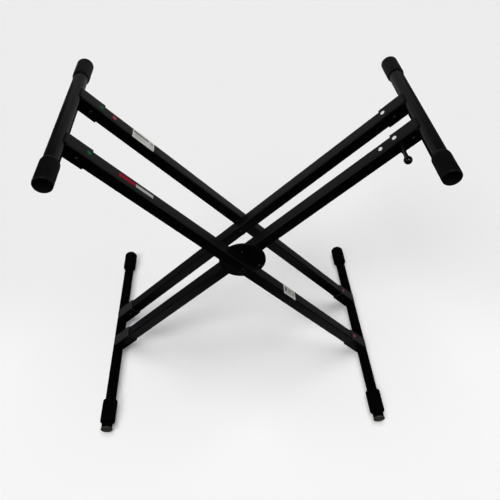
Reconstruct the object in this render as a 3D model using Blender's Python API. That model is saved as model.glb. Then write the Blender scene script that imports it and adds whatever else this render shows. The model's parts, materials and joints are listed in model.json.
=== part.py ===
# Double-braced X keyboard stand, standing open at its second height.
# Metres, +Z up. The origin is on the floor, below the middle of the pivot line.
# The outer frame runs from the upper left arm to the lower right leg, and the inner frame crosses it.
# Each frame is modelled lying along its own X axis, and an empty at the pivot tilts it.

import math
from dataclasses import dataclass

import bmesh
import bpy

# How far each frame leans up from the floor, and how far its cross tubes sit from the pivot.
FRAME_TILT = math.radians(46.08)
ARM_REACH = 0.5150
LEG_REACH = 0.5145

# Clearance between pieces that touch on the real stand.
SEAT_GAP = 0.0003

# Square braces, four of them, with the outer pair straddling the inner pair.
BRACE_WIDTH = 0.0300
BRACE_HEIGHT = 0.0290
BRACE_WALL = 0.0012
BRACE_CORNER = 0.0030
BRACE_END_CLEARANCE = 0.0040
OUTER_SPREAD = 0.0836
FRAME_GAP = 0.0056

# Round arms that carry the keyboard, and their rubber end grips.
ARM_RADIUS = 0.0158
ARM_WALL = 0.0012
ARM_SPAN = 0.4370
GRIP_RADIUS = 0.0187
GRIP_LENGTH = 0.0660
GRIP_END_WALL = 0.0040
GRIP_SHOULDER = 0.0065
GRIP_LIP = 0.0009
GRIP_ROUNDING = 0.0030

# Round legs that lie on the floor, with rubber sleeves and end plugs.
LEG_RADIUS = 0.0140
LEG_WALL = 0.0012
LEG_SPAN = 0.6150
SLEEVE_RADIUS = 0.0193
SLEEVE_LENGTH = 0.0600
SLEEVE_CHAMFER = 0.0022
SLEEVE_FLAT = 0.0006
FRONT_SLEEVE_INSET = 0.0195
REAR_SLEEVE_INSET = 0.0040
PLUG_RADIUS = 0.0152
PLUG_HEAD = 0.0025
PLUG_STEM = 0.0160
PLUG_ROUNDING = 0.0010

# Rectangular sockets, welded to the cross tubes, that the braces slide into.
SOCKET_WALL = 0.0022
SOCKET_CORNER = 0.0035
ARM_SOCKET_LENGTH = 0.0653
LEG_SOCKET_LENGTH = 0.0680
SOCKET_SETBACK = 0.0050

# Bolts that hold the braces in the sockets, each in a nut welded to its socket.
# The bolt beside the release knob sits further out, clear of the knob's slot.
SOCKET_BOLT_RADIUS = 0.0030
SOCKET_BOLT_HEAD_RADIUS = 0.0052
SOCKET_BOLT_HEAD_HEIGHT = 0.0030
SOCKET_BOLT_INSET = 0.0440
KNOB_SIDE_BOLT_INSET = 0.0280
WELD_NUT_RADIUS = 0.0060
WELD_NUT_HEIGHT = 0.0045
BOLT_TAIL = 0.0010

# Pivot bolts with hexagon keyways, their bushes, and the washers that space the rear braces.
PIVOT_RADIUS = 0.0050
PIVOT_HEAD_RADIUS = 0.0085
PIVOT_HEAD_HEIGHT = 0.0045
PIVOT_KEY_RADIUS = 0.0035
PIVOT_KEY_DEPTH = 0.0028
PIVOT_NUT_RADIUS = 0.0095
PIVOT_NUT_HEIGHT = 0.0090
BUSH_RADIUS = 0.0078
WASHER_RADIUS = 0.0125
WASHER_THICKNESS = 0.0016

# Lock: a dished cover over a notched plate. The plate's studs are swaged over the cover,
# and two screws hold both to the front outer brace. Angles are in degrees from the brace's leg end.
COVER_RADIUS = 0.0575
COVER_WALL = 0.0012
COVER_ROUNDING = 0.0010
PLATE_RIM_CLEARANCE = 0.0008
STUD_RADIUS = 0.0020
STUD_HEAD_RADIUS = 0.0028
STUD_HEAD_HEIGHT = 0.0012
STUD_CIRCLE = 0.0460
STUD_ANGLES = (22.0, 91.5, 158.0, 202.0, 268.5, 338.0)
PLATE_SCREW_REACH = 0.0490
PLATE_SCREW_RADIUS = 0.0020
PLATE_SCREW_HEAD_RADIUS = 0.0036
PLATE_SCREW_HEAD_DEPTH = 0.0016
PLATE_SCREW_LENGTH = 0.0085

# Fold positions, in degrees of closing from this pose: the whole range, and the notches.
FOLD_LIMITS = (-20.0, 81.0)
LOCK_FOLDS = (-18.0, 0.0, 18.0, 36.0)
WINDOW_MARGIN = 5.0

# Release: a knob on the front inner brace draws a rod and a pin out of the plate's notches.
RELEASE_TRAVEL = 0.0080
SLIDE_CLEARANCE = 0.0004
PIN_REACH = 0.0300
PIN_RADIUS = 0.0025
PIN_CLEARANCE = 0.0005
PIN_SEAT = 0.0100
PAWL_NEAR = 0.0200
PAWL_LENGTH = 0.0200
ROD_RADIUS = 0.0025
ROD_SEAT = 0.0060
SLIDER_LENGTH = 0.0180
KNOB_INSET = 0.0560
KNOB_STAND_OFF = 0.0470
KNOB_RADIUS = 0.0087
STEM_RADIUS = 0.0042
STEM_CLEARANCE = 0.0006
STEM_SEAT = 0.0080

# Return spring round the rod, between the pawl and a stop in the brace.
SPRING_STOP_REACH = 0.0800
SPRING_STOP_THICKNESS = 0.0040
SPRING_RADIUS = 0.0062
SPRING_WIRE_RADIUS = 0.0006
SPRING_TURNS = 7

# How finely round shapes are cut up.
LARGE_SIDES = 20
MEDIUM_SIDES = 16
SMALL_SIDES = 10
DISC_SIDES = 40
HEXAGON_SIDES = 6
CORNER_STEPS = 2
DOME_STEPS = 3
BALL_STEPS = 6
SLOT_END_STEPS = 6
WINDOW_STEPS = 16
SPRING_STEPS = 8
SHARP_ANGLE = math.radians(35)

# How far a cutter reaches past the faces that it cuts, and how close points become one.
CUT_MARGIN = 0.0020
MERGE_DISTANCE = 0.000001

# Places that follow from the sizes above.
INNER_SPREAD = OUTER_SPREAD - BRACE_WIDTH - FRAME_GAP
PIVOT_HEIGHT = LEG_REACH * math.sin(FRAME_TILT) + SLEEVE_RADIUS - SLEEVE_FLAT
KNOB_REACH = ARM_REACH - KNOB_INSET
PIVOT_HOLE = PIVOT_RADIUS + SEAT_GAP
SOCKET_WIDTH = BRACE_WIDTH + 2 * (SEAT_GAP + SOCKET_WALL)
SOCKET_HEIGHT = BRACE_HEIGHT + 2 * (SEAT_GAP + SOCKET_WALL)
COVER_FRONT = -OUTER_SPREAD + BRACE_WIDTH / 2 + SEAT_GAP
INNER_FRONT_FACE = -INNER_SPREAD - BRACE_WIDTH / 2
PLATE_FRONT = COVER_FRONT + COVER_WALL + SEAT_GAP
PLATE_BACK = INNER_FRONT_FACE - SEAT_GAP


@dataclass
class Frame:
    """One of the two frames. Its arm lies at +X of its own axis where side is 1, and at -X where it is -1."""

    name: str
    axis: bpy.types.Object
    side: int
    spread: float
    front_arm_bolt_inset: float

    @property
    def arm_x(self):
        return self.side * ARM_REACH

    @property
    def leg_x(self):
        return -self.side * LEG_REACH

    @property
    def brace_places(self):
        return (("front", -self.spread), ("rear", self.spread))


def clear_scene():
    for item in list(bpy.data.objects):
        bpy.data.objects.remove(item, do_unlink=True)


def finish(name, colour, roughness, metallic):
    material = bpy.data.materials.new(name)
    material.use_nodes = True
    shader = material.node_tree.nodes["Principled BSDF"]
    shader.inputs["Base Color"].default_value = (*colour, 1.0)
    shader.inputs["Roughness"].default_value = roughness
    shader.inputs["Metallic"].default_value = metallic
    return material


def add_empty(name, place, tilt=0.0, parent=None):
    empty = bpy.data.objects.new(name, None)
    bpy.context.collection.objects.link(empty)
    empty.location = place
    empty.rotation_euler = (0.0, tilt, 0.0)
    empty.parent = parent
    return empty


def add_piece(name, bm, material, parent, place=(0.0, 0.0, 0.0), turn=0.0):
    bmesh.ops.recalc_face_normals(bm, faces=bm.faces)
    mesh = bpy.data.meshes.new(name)
    bm.to_mesh(mesh)
    bm.free()
    mesh.shade_smooth()
    mesh.set_sharp_from_angle(angle=SHARP_ANGLE)
    if material:
        mesh.materials.append(material)
    piece = bpy.data.objects.new(name, mesh)
    bpy.context.collection.objects.link(piece)
    piece.parent = parent
    piece.location = place
    piece.rotation_euler = (0.0, turn, 0.0)
    return piece


def add_guide(name, bm, parent, place=(0.0, 0.0, 0.0), turn=0.0):
    """A shape that only cuts or joins a piece, and isn't a piece itself."""
    guide = add_piece(name, bm, None, parent, place, turn)
    guide.hide_render = True
    guide.display_type = "WIRE"
    return guide


def combine(piece, operation, shapes):
    for shape in shapes:
        boolean = piece.modifiers.new(shape.name, "BOOLEAN")
        boolean.operation = operation
        boolean.solver = "EXACT"
        boolean.object = shape


def cut(piece, *cutters):
    combine(piece, "DIFFERENCE", cutters)


def join(piece, *shapes):
    combine(piece, "UNION", shapes)


def arc_points(centre, radius, start, end, steps):
    """Points on an arc in a plane, from one angle to another, both in radians."""
    points = []
    for step in range(steps + 1):
        angle = start + (end - start) * step / steps
        points.append((centre[0] + radius * math.cos(angle), centre[1] + radius * math.sin(angle)))
    return points


def turned(outline, sides):
    """Spin (distance along Y, radius) points into a solid with one flat side facing up.

    An outline that starts on the axis also ends on it. Any other is a closed ring.
    """
    bm = bmesh.new()
    half_side = math.pi / sides
    ring = [
        bm.verts.new((radius * math.sin(half_side), along, radius * math.cos(half_side)))
        for along, radius in outline
    ]
    for start, end in zip(ring, ring[1:]):
        bm.edges.new((start, end))
    if outline[0][1] > 0:
        bm.edges.new((ring[-1], ring[0]))
    bmesh.ops.spin(
        bm,
        geom=bm.verts[:] + bm.edges[:],
        cent=(0.0, 0.0, 0.0),
        axis=(0.0, 1.0, 0.0),
        angle=2 * math.pi,
        steps=sides,
        use_merge=True,
    )
    bmesh.ops.remove_doubles(bm, verts=bm.verts, dist=MERGE_DISTANCE)
    return bm


def rod_along_y(start, end, radius, sides):
    return turned([(start, 0.0), (start, radius), (end, radius), (end, 0.0)], sides)


def ring_along_y(start, end, outer, inner, sides):
    return turned([(start, inner), (start, outer), (end, outer), (end, inner)], sides)


def rod_along_x(start, end, radius, sides):
    bm = rod_along_y(start, end, radius, sides)
    for vertex in bm.verts:
        vertex.co = (vertex.co.y, -vertex.co.x, vertex.co.z)
    return bm


def flip(outline):
    return [(-along, radius) for along, radius in outline]


def shift(outline, distance):
    return [(along + distance, radius) for along, radius in outline]


def extrude(bm, faces, vector):
    pulled = bmesh.ops.extrude_face_region(bm, geom=faces, use_keep_orig=True)["geom"]
    moved = [item for item in pulled if isinstance(item, bmesh.types.BMVert)]
    bmesh.ops.translate(bm, verts=moved, vec=vector)


def plate_along_y(points, start, end):
    """A flat outline of (x, z) points, pulled along Y."""
    bm = bmesh.new()
    face = bm.faces.new([bm.verts.new((x, start, z)) for x, z in points])
    extrude(bm, [face], (0.0, end - start, 0.0))
    return bm


def rounded_loop(bm, x, width, height, corner):
    points = []
    for quarter, (side_y, side_z) in enumerate(((1, 1), (-1, 1), (-1, -1), (1, -1))):
        start = quarter * math.pi / 2
        centre = (side_y * (width / 2 - corner), side_z * (height / 2 - corner))
        points += arc_points(centre, corner, start, start + math.pi / 2, CORNER_STEPS)
    return [bm.verts.new((x, y, z)) for y, z in points]


def rounded_bar(start, end, width, height, corner):
    bm = bmesh.new()
    face = bm.faces.new(rounded_loop(bm, start, width, height, corner))
    extrude(bm, [face], (end - start, 0.0, 0.0))
    return bm


def rectangular_tube(start, end, width, height, wall, corner):
    bm = bmesh.new()
    outside = rounded_loop(bm, start, width, height, corner)
    inside = rounded_loop(bm, start, width - 2 * wall, height - 2 * wall, corner - wall)
    ring = [
        bm.faces.new((outside[i - 1], outside[i], inside[i], inside[i - 1])) for i in range(len(outside))
    ]
    extrude(bm, ring, (end - start, 0.0, 0.0))
    return bm


def repeated(bm, places):
    """One solid at several places, for a shape that cuts or joins at all of them."""
    pattern = bpy.data.meshes.new("pattern")
    bm.to_mesh(pattern)
    bm.free()
    whole = bmesh.new()
    for place in places:
        before = len(whole.verts)
        whole.from_mesh(pattern)
        whole.verts.ensure_lookup_table()
        bmesh.ops.translate(whole, verts=whole.verts[before:], vec=place)
    bpy.data.meshes.remove(pattern)
    return whole


def domed_bolt(seat, head_radius, head_height, shank_radius, shank_end):
    """Outline of a round-headed bolt whose head rests on seat and whose shank points to the rear."""
    dome_radius = (head_radius**2 + head_height**2) / (2 * head_height)
    centre = seat - head_height + dome_radius
    half_angle = math.asin(head_radius / dome_radius)
    dome = arc_points((centre, 0.0), dome_radius, math.pi, math.pi - half_angle, DOME_STEPS)
    dome[0] = (seat - head_height, 0.0)
    return dome + [(seat, shank_radius), (shank_end, shank_radius), (shank_end, 0.0)]


def add_arm(frame, paint):
    """Round tube with a closed rubber grip over each end."""
    tube_end = ARM_SPAN / 2 - GRIP_END_WALL - SEAT_GAP
    tube = ring_along_y(-tube_end, tube_end, ARM_RADIUS, ARM_RADIUS - ARM_WALL, LARGE_SIDES)
    level = -frame.axis.rotation_euler.y
    place = (frame.arm_x, 0, 0)
    add_piece(f"{frame.name}_arm", tube, paint["black_steel"], frame.axis, place, level)

    bore = ARM_RADIUS + SEAT_GAP
    end = ARM_SPAN / 2
    mouth = end - GRIP_LENGTH
    bore_end = end - GRIP_END_WALL
    rounding_centre = (end - GRIP_ROUNDING, GRIP_RADIUS - GRIP_ROUNDING)
    outline = [(bore_end, 0.0), (bore_end, bore), (mouth, bore), (mouth, bore + GRIP_LIP)]
    outline += [(mouth + GRIP_SHOULDER, GRIP_RADIUS)]
    outline += arc_points(rounding_centre, GRIP_ROUNDING, math.pi / 2, 0.0, CORNER_STEPS)
    outline += [(end, 0.0)]
    for where, profile in (("front", flip(outline)), ("rear", outline)):
        grip = turned(profile, LARGE_SIDES)
        add_piece(f"{frame.name}_arm_grip_{where}", grip, paint["rubber"], frame.axis, place, level)


def add_leg(frame, paint, floor):
    """Round tube with a plug in each end, and rubber sleeves that stand flat on the floor."""
    tube_end = LEG_SPAN / 2 - PLUG_HEAD
    tube = ring_along_y(-tube_end, tube_end, LEG_RADIUS, LEG_RADIUS - LEG_WALL, LARGE_SIDES)
    level = -frame.axis.rotation_euler.y
    place = (frame.leg_x, 0, 0)
    add_piece(f"{frame.name}_leg", tube, paint["black_steel"], frame.axis, place, level)

    stem_start = tube_end - PLUG_STEM
    stem_radius = LEG_RADIUS - LEG_WALL - SEAT_GAP
    head_start = tube_end + SEAT_GAP
    rounding_centre = (LEG_SPAN / 2 - PLUG_ROUNDING, PLUG_RADIUS - PLUG_ROUNDING)
    outline = [(stem_start, 0.0), (stem_start, stem_radius), (head_start, stem_radius)]
    outline += [(head_start, PLUG_RADIUS)]
    outline += arc_points(rounding_centre, PLUG_ROUNDING, math.pi / 2, 0.0, CORNER_STEPS)
    outline += [(LEG_SPAN / 2, 0.0)]
    for where, profile in (("front", flip(outline)), ("rear", outline)):
        plug = turned(profile, LARGE_SIDES)
        add_piece(f"{frame.name}_leg_plug_{where}", plug, paint["grey_plastic"], frame.axis, place, level)

    bore = LEG_RADIUS + SEAT_GAP
    shoulder = SLEEVE_RADIUS - SLEEVE_CHAMFER
    outline = [(0.0, bore), (0.0, shoulder), (SLEEVE_CHAMFER, SLEEVE_RADIUS)]
    outline += [(SLEEVE_LENGTH - SLEEVE_CHAMFER, SLEEVE_RADIUS), (SLEEVE_LENGTH, shoulder)]
    outline += [(SLEEVE_LENGTH, bore)]
    sleeve_starts = {
        "front": FRONT_SLEEVE_INSET - LEG_SPAN / 2,
        "rear": LEG_SPAN / 2 - REAR_SLEEVE_INSET - SLEEVE_LENGTH,
    }
    for where, start in sleeve_starts.items():
        sleeve = turned(shift(outline, start), LARGE_SIDES)
        foot = add_piece(
            f"{frame.name}_foot_sleeve_{where}", sleeve, paint["rubber"], frame.axis, place, level
        )
        cut(foot, floor)


def add_braces(frame, paint):
    """Square tubes from socket to socket, with a bush where the pivot bolt passes."""
    arm_end = frame.side * (ARM_REACH - ARM_RADIUS - BRACE_END_CLEARANCE)
    leg_end = -frame.side * (LEG_REACH - LEG_RADIUS - BRACE_END_CLEARANCE)
    bush_end = BRACE_WIDTH / 2 - BRACE_WALL - SEAT_GAP
    for where, y in frame.brace_places:
        tube = rectangular_tube(
            min(arm_end, leg_end), max(arm_end, leg_end), BRACE_WIDTH, BRACE_HEIGHT, BRACE_WALL, BRACE_CORNER
        )
        brace = add_piece(f"{frame.name}_brace_{where}", tube, paint["black_steel"], frame.axis, (0, y, 0))
        hole = rod_along_y(-BRACE_WIDTH, BRACE_WIDTH, PIVOT_HOLE, SMALL_SIDES)
        cut(brace, add_guide(f"{frame.name}_pivot_cutter_{where}", hole, frame.axis, (0, y, 0)))
        bush = ring_along_y(-bush_end, bush_end, BUSH_RADIUS, PIVOT_HOLE, SMALL_SIDES)
        add_piece(f"{frame.name}_pivot_bush_{where}", bush, paint["zinc_steel"], frame.axis, (0, y, 0))


def add_socket(frame, end, where, y, tube_x, length, tube_radius, bolt_inset, paint):
    """Socket coped round its cross tube, with its weld nut, and the bolt that holds the brace in it."""
    inward = -math.copysign(1, tube_x)
    ends = (tube_x + inward * SOCKET_SETBACK, tube_x + inward * length)
    name = f"{frame.name}_{end}_socket_{where}"
    tube = rectangular_tube(min(ends), max(ends), SOCKET_WIDTH, SOCKET_HEIGHT, SOCKET_WALL, SOCKET_CORNER)
    socket = add_piece(name, tube, paint["black_steel"], frame.axis, (0, y, 0))

    bolt_place = (tube_x + inward * bolt_inset, y, 0)
    nut_face = SOCKET_WIDTH / 2 + WELD_NUT_HEIGHT
    nut = rod_along_y(SOCKET_WIDTH / 2 - SEAT_GAP, nut_face, WELD_NUT_RADIUS, HEXAGON_SIDES)
    join(socket, add_guide(f"{name}_weld_nut", nut, frame.axis, bolt_place))

    level = -frame.axis.rotation_euler.y
    cope = rod_along_y(-SOCKET_WIDTH, SOCKET_WIDTH, tube_radius + SEAT_GAP, LARGE_SIDES)
    cut(socket, add_guide(f"{name}_cope_cutter", cope, frame.axis, (tube_x, y, 0), level))
    hole = rod_along_y(-SOCKET_WIDTH, SOCKET_WIDTH, SOCKET_BOLT_RADIUS + SEAT_GAP, SMALL_SIDES)
    hole_cutter = add_guide(f"{name}_bolt_cutter", hole, frame.axis, bolt_place)
    cut(socket, hole_cutter)
    cut(bpy.data.objects[f"{frame.name}_brace_{where}"], hole_cutter)

    outline = domed_bolt(
        -SOCKET_WIDTH / 2 - SEAT_GAP,
        SOCKET_BOLT_HEAD_RADIUS,
        SOCKET_BOLT_HEAD_HEIGHT,
        SOCKET_BOLT_RADIUS,
        nut_face + BOLT_TAIL,
    )
    bolt = turned(outline, SMALL_SIDES)
    add_piece(f"{frame.name}_{end}_bolt_{where}", bolt, paint["bolt_steel"], frame.axis, bolt_place)


def add_frame(frame, paint, floor):
    add_arm(frame, paint)
    add_leg(frame, paint, floor)
    add_braces(frame, paint)
    for where, y in frame.brace_places:
        arm_inset = frame.front_arm_bolt_inset if where == "front" else SOCKET_BOLT_INSET
        add_socket(frame, "arm", where, y, frame.arm_x, ARM_SOCKET_LENGTH, ARM_RADIUS, arm_inset, paint)
        add_socket(
            frame, "leg", where, y, frame.leg_x, LEG_SOCKET_LENGTH, LEG_RADIUS, SOCKET_BOLT_INSET, paint
        )


def add_pivot(name, head_seat, nut_seat, washer_start, axis, paint):
    """Bolt, nut and washer through one pair of braces."""
    bolt_end = nut_seat + PIVOT_NUT_HEIGHT + BOLT_TAIL
    outline = domed_bolt(head_seat, PIVOT_HEAD_RADIUS, PIVOT_HEAD_HEIGHT, PIVOT_RADIUS, bolt_end)
    bolt = add_piece(f"{name}_pivot_bolt", turned(outline, SMALL_SIDES), paint["bolt_steel"], axis)
    head_front = head_seat - PIVOT_HEAD_HEIGHT
    key = rod_along_y(head_front - CUT_MARGIN, head_front + PIVOT_KEY_DEPTH, PIVOT_KEY_RADIUS, HEXAGON_SIDES)
    cut(bolt, add_guide(f"{name}_key_cutter", key, axis))

    thread_hole = PIVOT_HOLE / math.cos(math.pi / HEXAGON_SIDES)
    nut = ring_along_y(0.0, PIVOT_NUT_HEIGHT, PIVOT_NUT_RADIUS, thread_hole, HEXAGON_SIDES)
    add_piece(f"{name}_pivot_nut", nut, paint["bolt_steel"], axis, (0, nut_seat, 0))
    washer = ring_along_y(0.0, WASHER_THICKNESS, WASHER_RADIUS, PIVOT_HOLE, MEDIUM_SIDES)
    add_piece(f"{name}_pivot_washer", washer, paint["zinc_steel"], axis, (0, washer_start, 0))


def add_pivots(axis, paint):
    """Both pivots, which turn with the outer frame, and the spacer that fills the rear frame gap."""
    washer_room = WASHER_THICKNESS + 2 * SEAT_GAP
    front_inside = -INNER_SPREAD + BRACE_WIDTH / 2
    front_outside = -OUTER_SPREAD - BRACE_WIDTH / 2 - SEAT_GAP
    add_pivot("front", front_outside, front_inside + washer_room, front_inside + SEAT_GAP, axis, paint)
    rear_inside = INNER_SPREAD - BRACE_WIDTH / 2 - washer_room
    rear_outside = OUTER_SPREAD + BRACE_WIDTH / 2 + SEAT_GAP
    add_pivot("rear", rear_inside, rear_outside, rear_inside + SEAT_GAP, axis, paint)

    spacer_start = INNER_SPREAD + BRACE_WIDTH / 2 + SEAT_GAP
    spacer_end = OUTER_SPREAD - BRACE_WIDTH / 2 - SEAT_GAP
    spacer = ring_along_y(spacer_start, spacer_end, WASHER_RADIUS, PIVOT_HOLE, MEDIUM_SIDES)
    add_piece("rear_pivot_spacer", spacer, paint["nylon"], axis)


def add_lock_cover(axis, paint):
    rim_back = INNER_FRONT_FACE - SEAT_GAP
    rounding_centre = (COVER_FRONT + COVER_ROUNDING, COVER_RADIUS - COVER_ROUNDING)
    outline = [(COVER_FRONT + COVER_WALL, PIVOT_HOLE), (COVER_FRONT, PIVOT_HOLE)]
    outline += arc_points(rounding_centre, COVER_ROUNDING, math.pi, math.pi / 2, CORNER_STEPS)
    outline += [(rim_back, COVER_RADIUS), (rim_back, COVER_RADIUS - COVER_WALL)]
    outline += [(COVER_FRONT + COVER_WALL, COVER_RADIUS - COVER_WALL)]
    return add_piece("lock_cover", turned(outline, DISC_SIDES), paint["black_steel"], axis)


def add_index_plate(axis, paint):
    """Disc with a curved window for the drawn pin, and a notch at each locked angle."""
    radius = COVER_RADIUS - COVER_WALL - PLATE_RIM_CLEARANCE
    disc = ring_along_y(PLATE_FRONT, PLATE_BACK, radius, PIVOT_HOLE, DISC_SIDES)
    plate = add_piece("index_plate", disc, paint["zinc_steel"], axis)

    cut_front = PLATE_FRONT - CUT_MARGIN
    cut_back = PLATE_BACK + CUT_MARGIN
    notch_half = PIN_RADIUS + PIN_CLEARANCE
    window_near = PIN_REACH + notch_half
    window_far = window_near + RELEASE_TRAVEL
    inner_brace_angle = 2 * FRAME_TILT
    start = inner_brace_angle + math.radians(FOLD_LIMITS[0] - WINDOW_MARGIN)
    end = inner_brace_angle + math.radians(FOLD_LIMITS[1] + WINDOW_MARGIN)
    outline = arc_points((0, 0), window_near, start, end, WINDOW_STEPS)
    outline += arc_points((0, 0), window_far, end, start, WINDOW_STEPS)
    cut(plate, add_guide("window_cutter", plate_along_y(outline, cut_front, cut_back), axis))

    for number, fold in enumerate(LOCK_FOLDS, start=1):
        near = PIN_REACH - notch_half
        far = PIN_REACH + RELEASE_TRAVEL
        outline = [(near, -notch_half), (far, -notch_half), (far, notch_half), (near, notch_half)]
        notch = plate_along_y(outline, cut_front, cut_back)
        angle = inner_brace_angle + math.radians(fold)
        cut(plate, add_guide(f"notch_cutter_{number}", notch, axis, turn=-angle))
    return plate


def add_lock(axis, paint):
    """Cover and notched plate on the inside of the front outer brace."""
    cover = add_lock_cover(axis, paint)
    plate = add_index_plate(axis, paint)

    turns = [math.radians(angle) for angle in STUD_ANGLES]
    stud_places = [(STUD_CIRCLE * math.cos(turn), 0.0, STUD_CIRCLE * math.sin(turn)) for turn in turns]
    stud_root = (PLATE_FRONT + PLATE_BACK) / 2
    outline = domed_bolt(COVER_FRONT - SEAT_GAP, STUD_HEAD_RADIUS, STUD_HEAD_HEIGHT, STUD_RADIUS, stud_root)
    join(plate, add_guide("swaged_studs", repeated(turned(outline, SMALL_SIDES), stud_places), axis))
    stud_hole = rod_along_y(
        COVER_FRONT - CUT_MARGIN, COVER_FRONT + COVER_WALL + CUT_MARGIN, STUD_RADIUS + SEAT_GAP, SMALL_SIDES
    )
    cut(cover, add_guide("stud_hole_cutters", repeated(stud_hole, stud_places), axis))

    tip = PLATE_BACK - PLATE_SCREW_LENGTH
    neck = PLATE_BACK - PLATE_SCREW_HEAD_DEPTH
    screw_outline = [(tip, 0.0), (tip, PLATE_SCREW_RADIUS), (neck, PLATE_SCREW_RADIUS)]
    screw_outline += [(PLATE_BACK, PLATE_SCREW_HEAD_RADIUS), (PLATE_BACK, 0.0)]
    screw_places = {"arm_side": (-PLATE_SCREW_REACH, 0.0, 0.0), "leg_side": (PLATE_SCREW_REACH, 0.0, 0.0)}
    for where, place in screw_places.items():
        screw = turned(screw_outline, SMALL_SIDES)
        add_piece(f"plate_screw_{where}", screw, paint["bolt_steel"], axis, place)

    hole_radius = PLATE_SCREW_RADIUS + SEAT_GAP
    head_hole_radius = PLATE_SCREW_HEAD_RADIUS + SEAT_GAP
    beyond = PLATE_BACK + CUT_MARGIN
    hole_outline = [(tip - CUT_MARGIN, 0.0), (tip - CUT_MARGIN, hole_radius), (neck, hole_radius)]
    hole_outline += [(PLATE_BACK, head_hole_radius), (beyond, head_hole_radius), (beyond, 0.0)]
    screw_hole = repeated(turned(hole_outline, SMALL_SIDES), screw_places.values())
    screw_cutter = add_guide("screw_cutters", screw_hole, axis)
    for piece in (cover, plate, bpy.data.objects["outer_brace_front"]):
        cut(piece, screw_cutter)


def slot(near, far, half_width):
    """Outline of a round-ended slot along X, between two centres."""
    points = arc_points((far, 0.0), half_width, -math.pi / 2, math.pi / 2, SLOT_END_STEPS)
    return points + arc_points((near, 0.0), half_width, math.pi / 2, 3 * math.pi / 2, SLOT_END_STEPS)


def cut_release_slots(axis):
    """Slots for the pin and for the knob's stem, which lets it into the socket from its mouth."""
    front = -INNER_SPREAD - SOCKET_WIDTH / 2 - CUT_MARGIN
    back = INNER_FRONT_FACE + BRACE_WALL + SLIDE_CLEARANCE
    stem_half = STEM_RADIUS + STEM_CLEARANCE
    stem_far = KNOB_REACH + RELEASE_TRAVEL
    outlines = {
        "pin_slot": slot(PIN_REACH, PIN_REACH + RELEASE_TRAVEL, PIN_RADIUS + PIN_CLEARANCE),
        "stem_slot": slot(KNOB_REACH, stem_far, stem_half),
        "socket_slot": slot(ARM_REACH - ARM_SOCKET_LENGTH, stem_far, stem_half),
    }
    cutters = {
        name: add_guide(f"{name}_cutter", plate_along_y(outline, front, back), axis)
        for name, outline in outlines.items()
    }
    cut(bpy.data.objects["inner_brace_front"], cutters["pin_slot"], cutters["stem_slot"])
    cut(bpy.data.objects["inner_arm_socket_front"], cutters["socket_slot"])


def brace_block(start, end, clearance):
    """A block that fits inside a brace with a clearance all round."""
    room = BRACE_WALL + clearance
    return rounded_bar(start, end, BRACE_WIDTH - 2 * room, BRACE_HEIGHT - 2 * room, BRACE_CORNER - room)


def add_release(axis, slide_axis, paint):
    """Pawl, pin, rod, slider and knob, which slide along the front inner brace together."""
    place = (0, -INNER_SPREAD, 0)
    pin_place = (PIN_REACH, -INNER_SPREAD, 0)
    knob_place = (KNOB_REACH, -INNER_SPREAD, 0)
    brace_front = -BRACE_WIDTH / 2
    block_front = brace_front + BRACE_WALL + SLIDE_CLEARANCE
    pawl_far = PAWL_NEAR + PAWL_LENGTH
    slider_near = KNOB_REACH - SLIDER_LENGTH / 2
    pin_root = block_front + PIN_SEAT
    stem_root = block_front + STEM_SEAT
    rod_near = pawl_far - ROD_SEAT
    rod_far = slider_near + ROD_SEAT

    block = brace_block(PAWL_NEAR, pawl_far, SLIDE_CLEARANCE)
    pawl = add_piece("lock_pawl", block, paint["zinc_steel"], slide_axis, place)
    pin = rod_along_y(brace_front, pin_root - SEAT_GAP, PIN_RADIUS, SMALL_SIDES)
    add_piece("lock_pin", pin, paint["zinc_steel"], slide_axis, pin_place)
    rod = rod_along_x(rod_near + SEAT_GAP, rod_far - SEAT_GAP, ROD_RADIUS, SMALL_SIDES)
    add_piece("release_rod", rod, paint["zinc_steel"], slide_axis, place)
    block = brace_block(slider_near, slider_near + SLIDER_LENGTH, SLIDE_CLEARANCE)
    slider = add_piece("release_slider", block, paint["nylon"], slide_axis, place)

    ball_centre = brace_front - KNOB_STAND_OFF
    neck_angle = math.asin(STEM_RADIUS / KNOB_RADIUS)
    outline = arc_points((ball_centre, 0.0), KNOB_RADIUS, math.pi, neck_angle, BALL_STEPS)
    outline[0] = (ball_centre - KNOB_RADIUS, 0.0)
    outline += [(stem_root - SEAT_GAP, STEM_RADIUS), (stem_root - SEAT_GAP, 0.0)]
    add_piece("release_knob", turned(outline, MEDIUM_SIDES), paint["bolt_steel"], slide_axis, knob_place)

    pin_seat = rod_along_y(block_front - CUT_MARGIN, pin_root, PIN_RADIUS + SEAT_GAP, SMALL_SIDES)
    stem_seat = rod_along_y(block_front - CUT_MARGIN, stem_root, STEM_RADIUS + SEAT_GAP, MEDIUM_SIDES)
    rod_seat = rod_along_x(rod_near, rod_far, ROD_RADIUS + SEAT_GAP, SMALL_SIDES)
    rod_cutter = add_guide("rod_seat_cutter", rod_seat, slide_axis, place)
    cut(pawl, rod_cutter, add_guide("pin_seat_cutter", pin_seat, slide_axis, pin_place))
    cut(slider, rod_cutter, add_guide("stem_seat_cutter", stem_seat, slide_axis, knob_place))
    cut_release_slots(axis)


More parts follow.
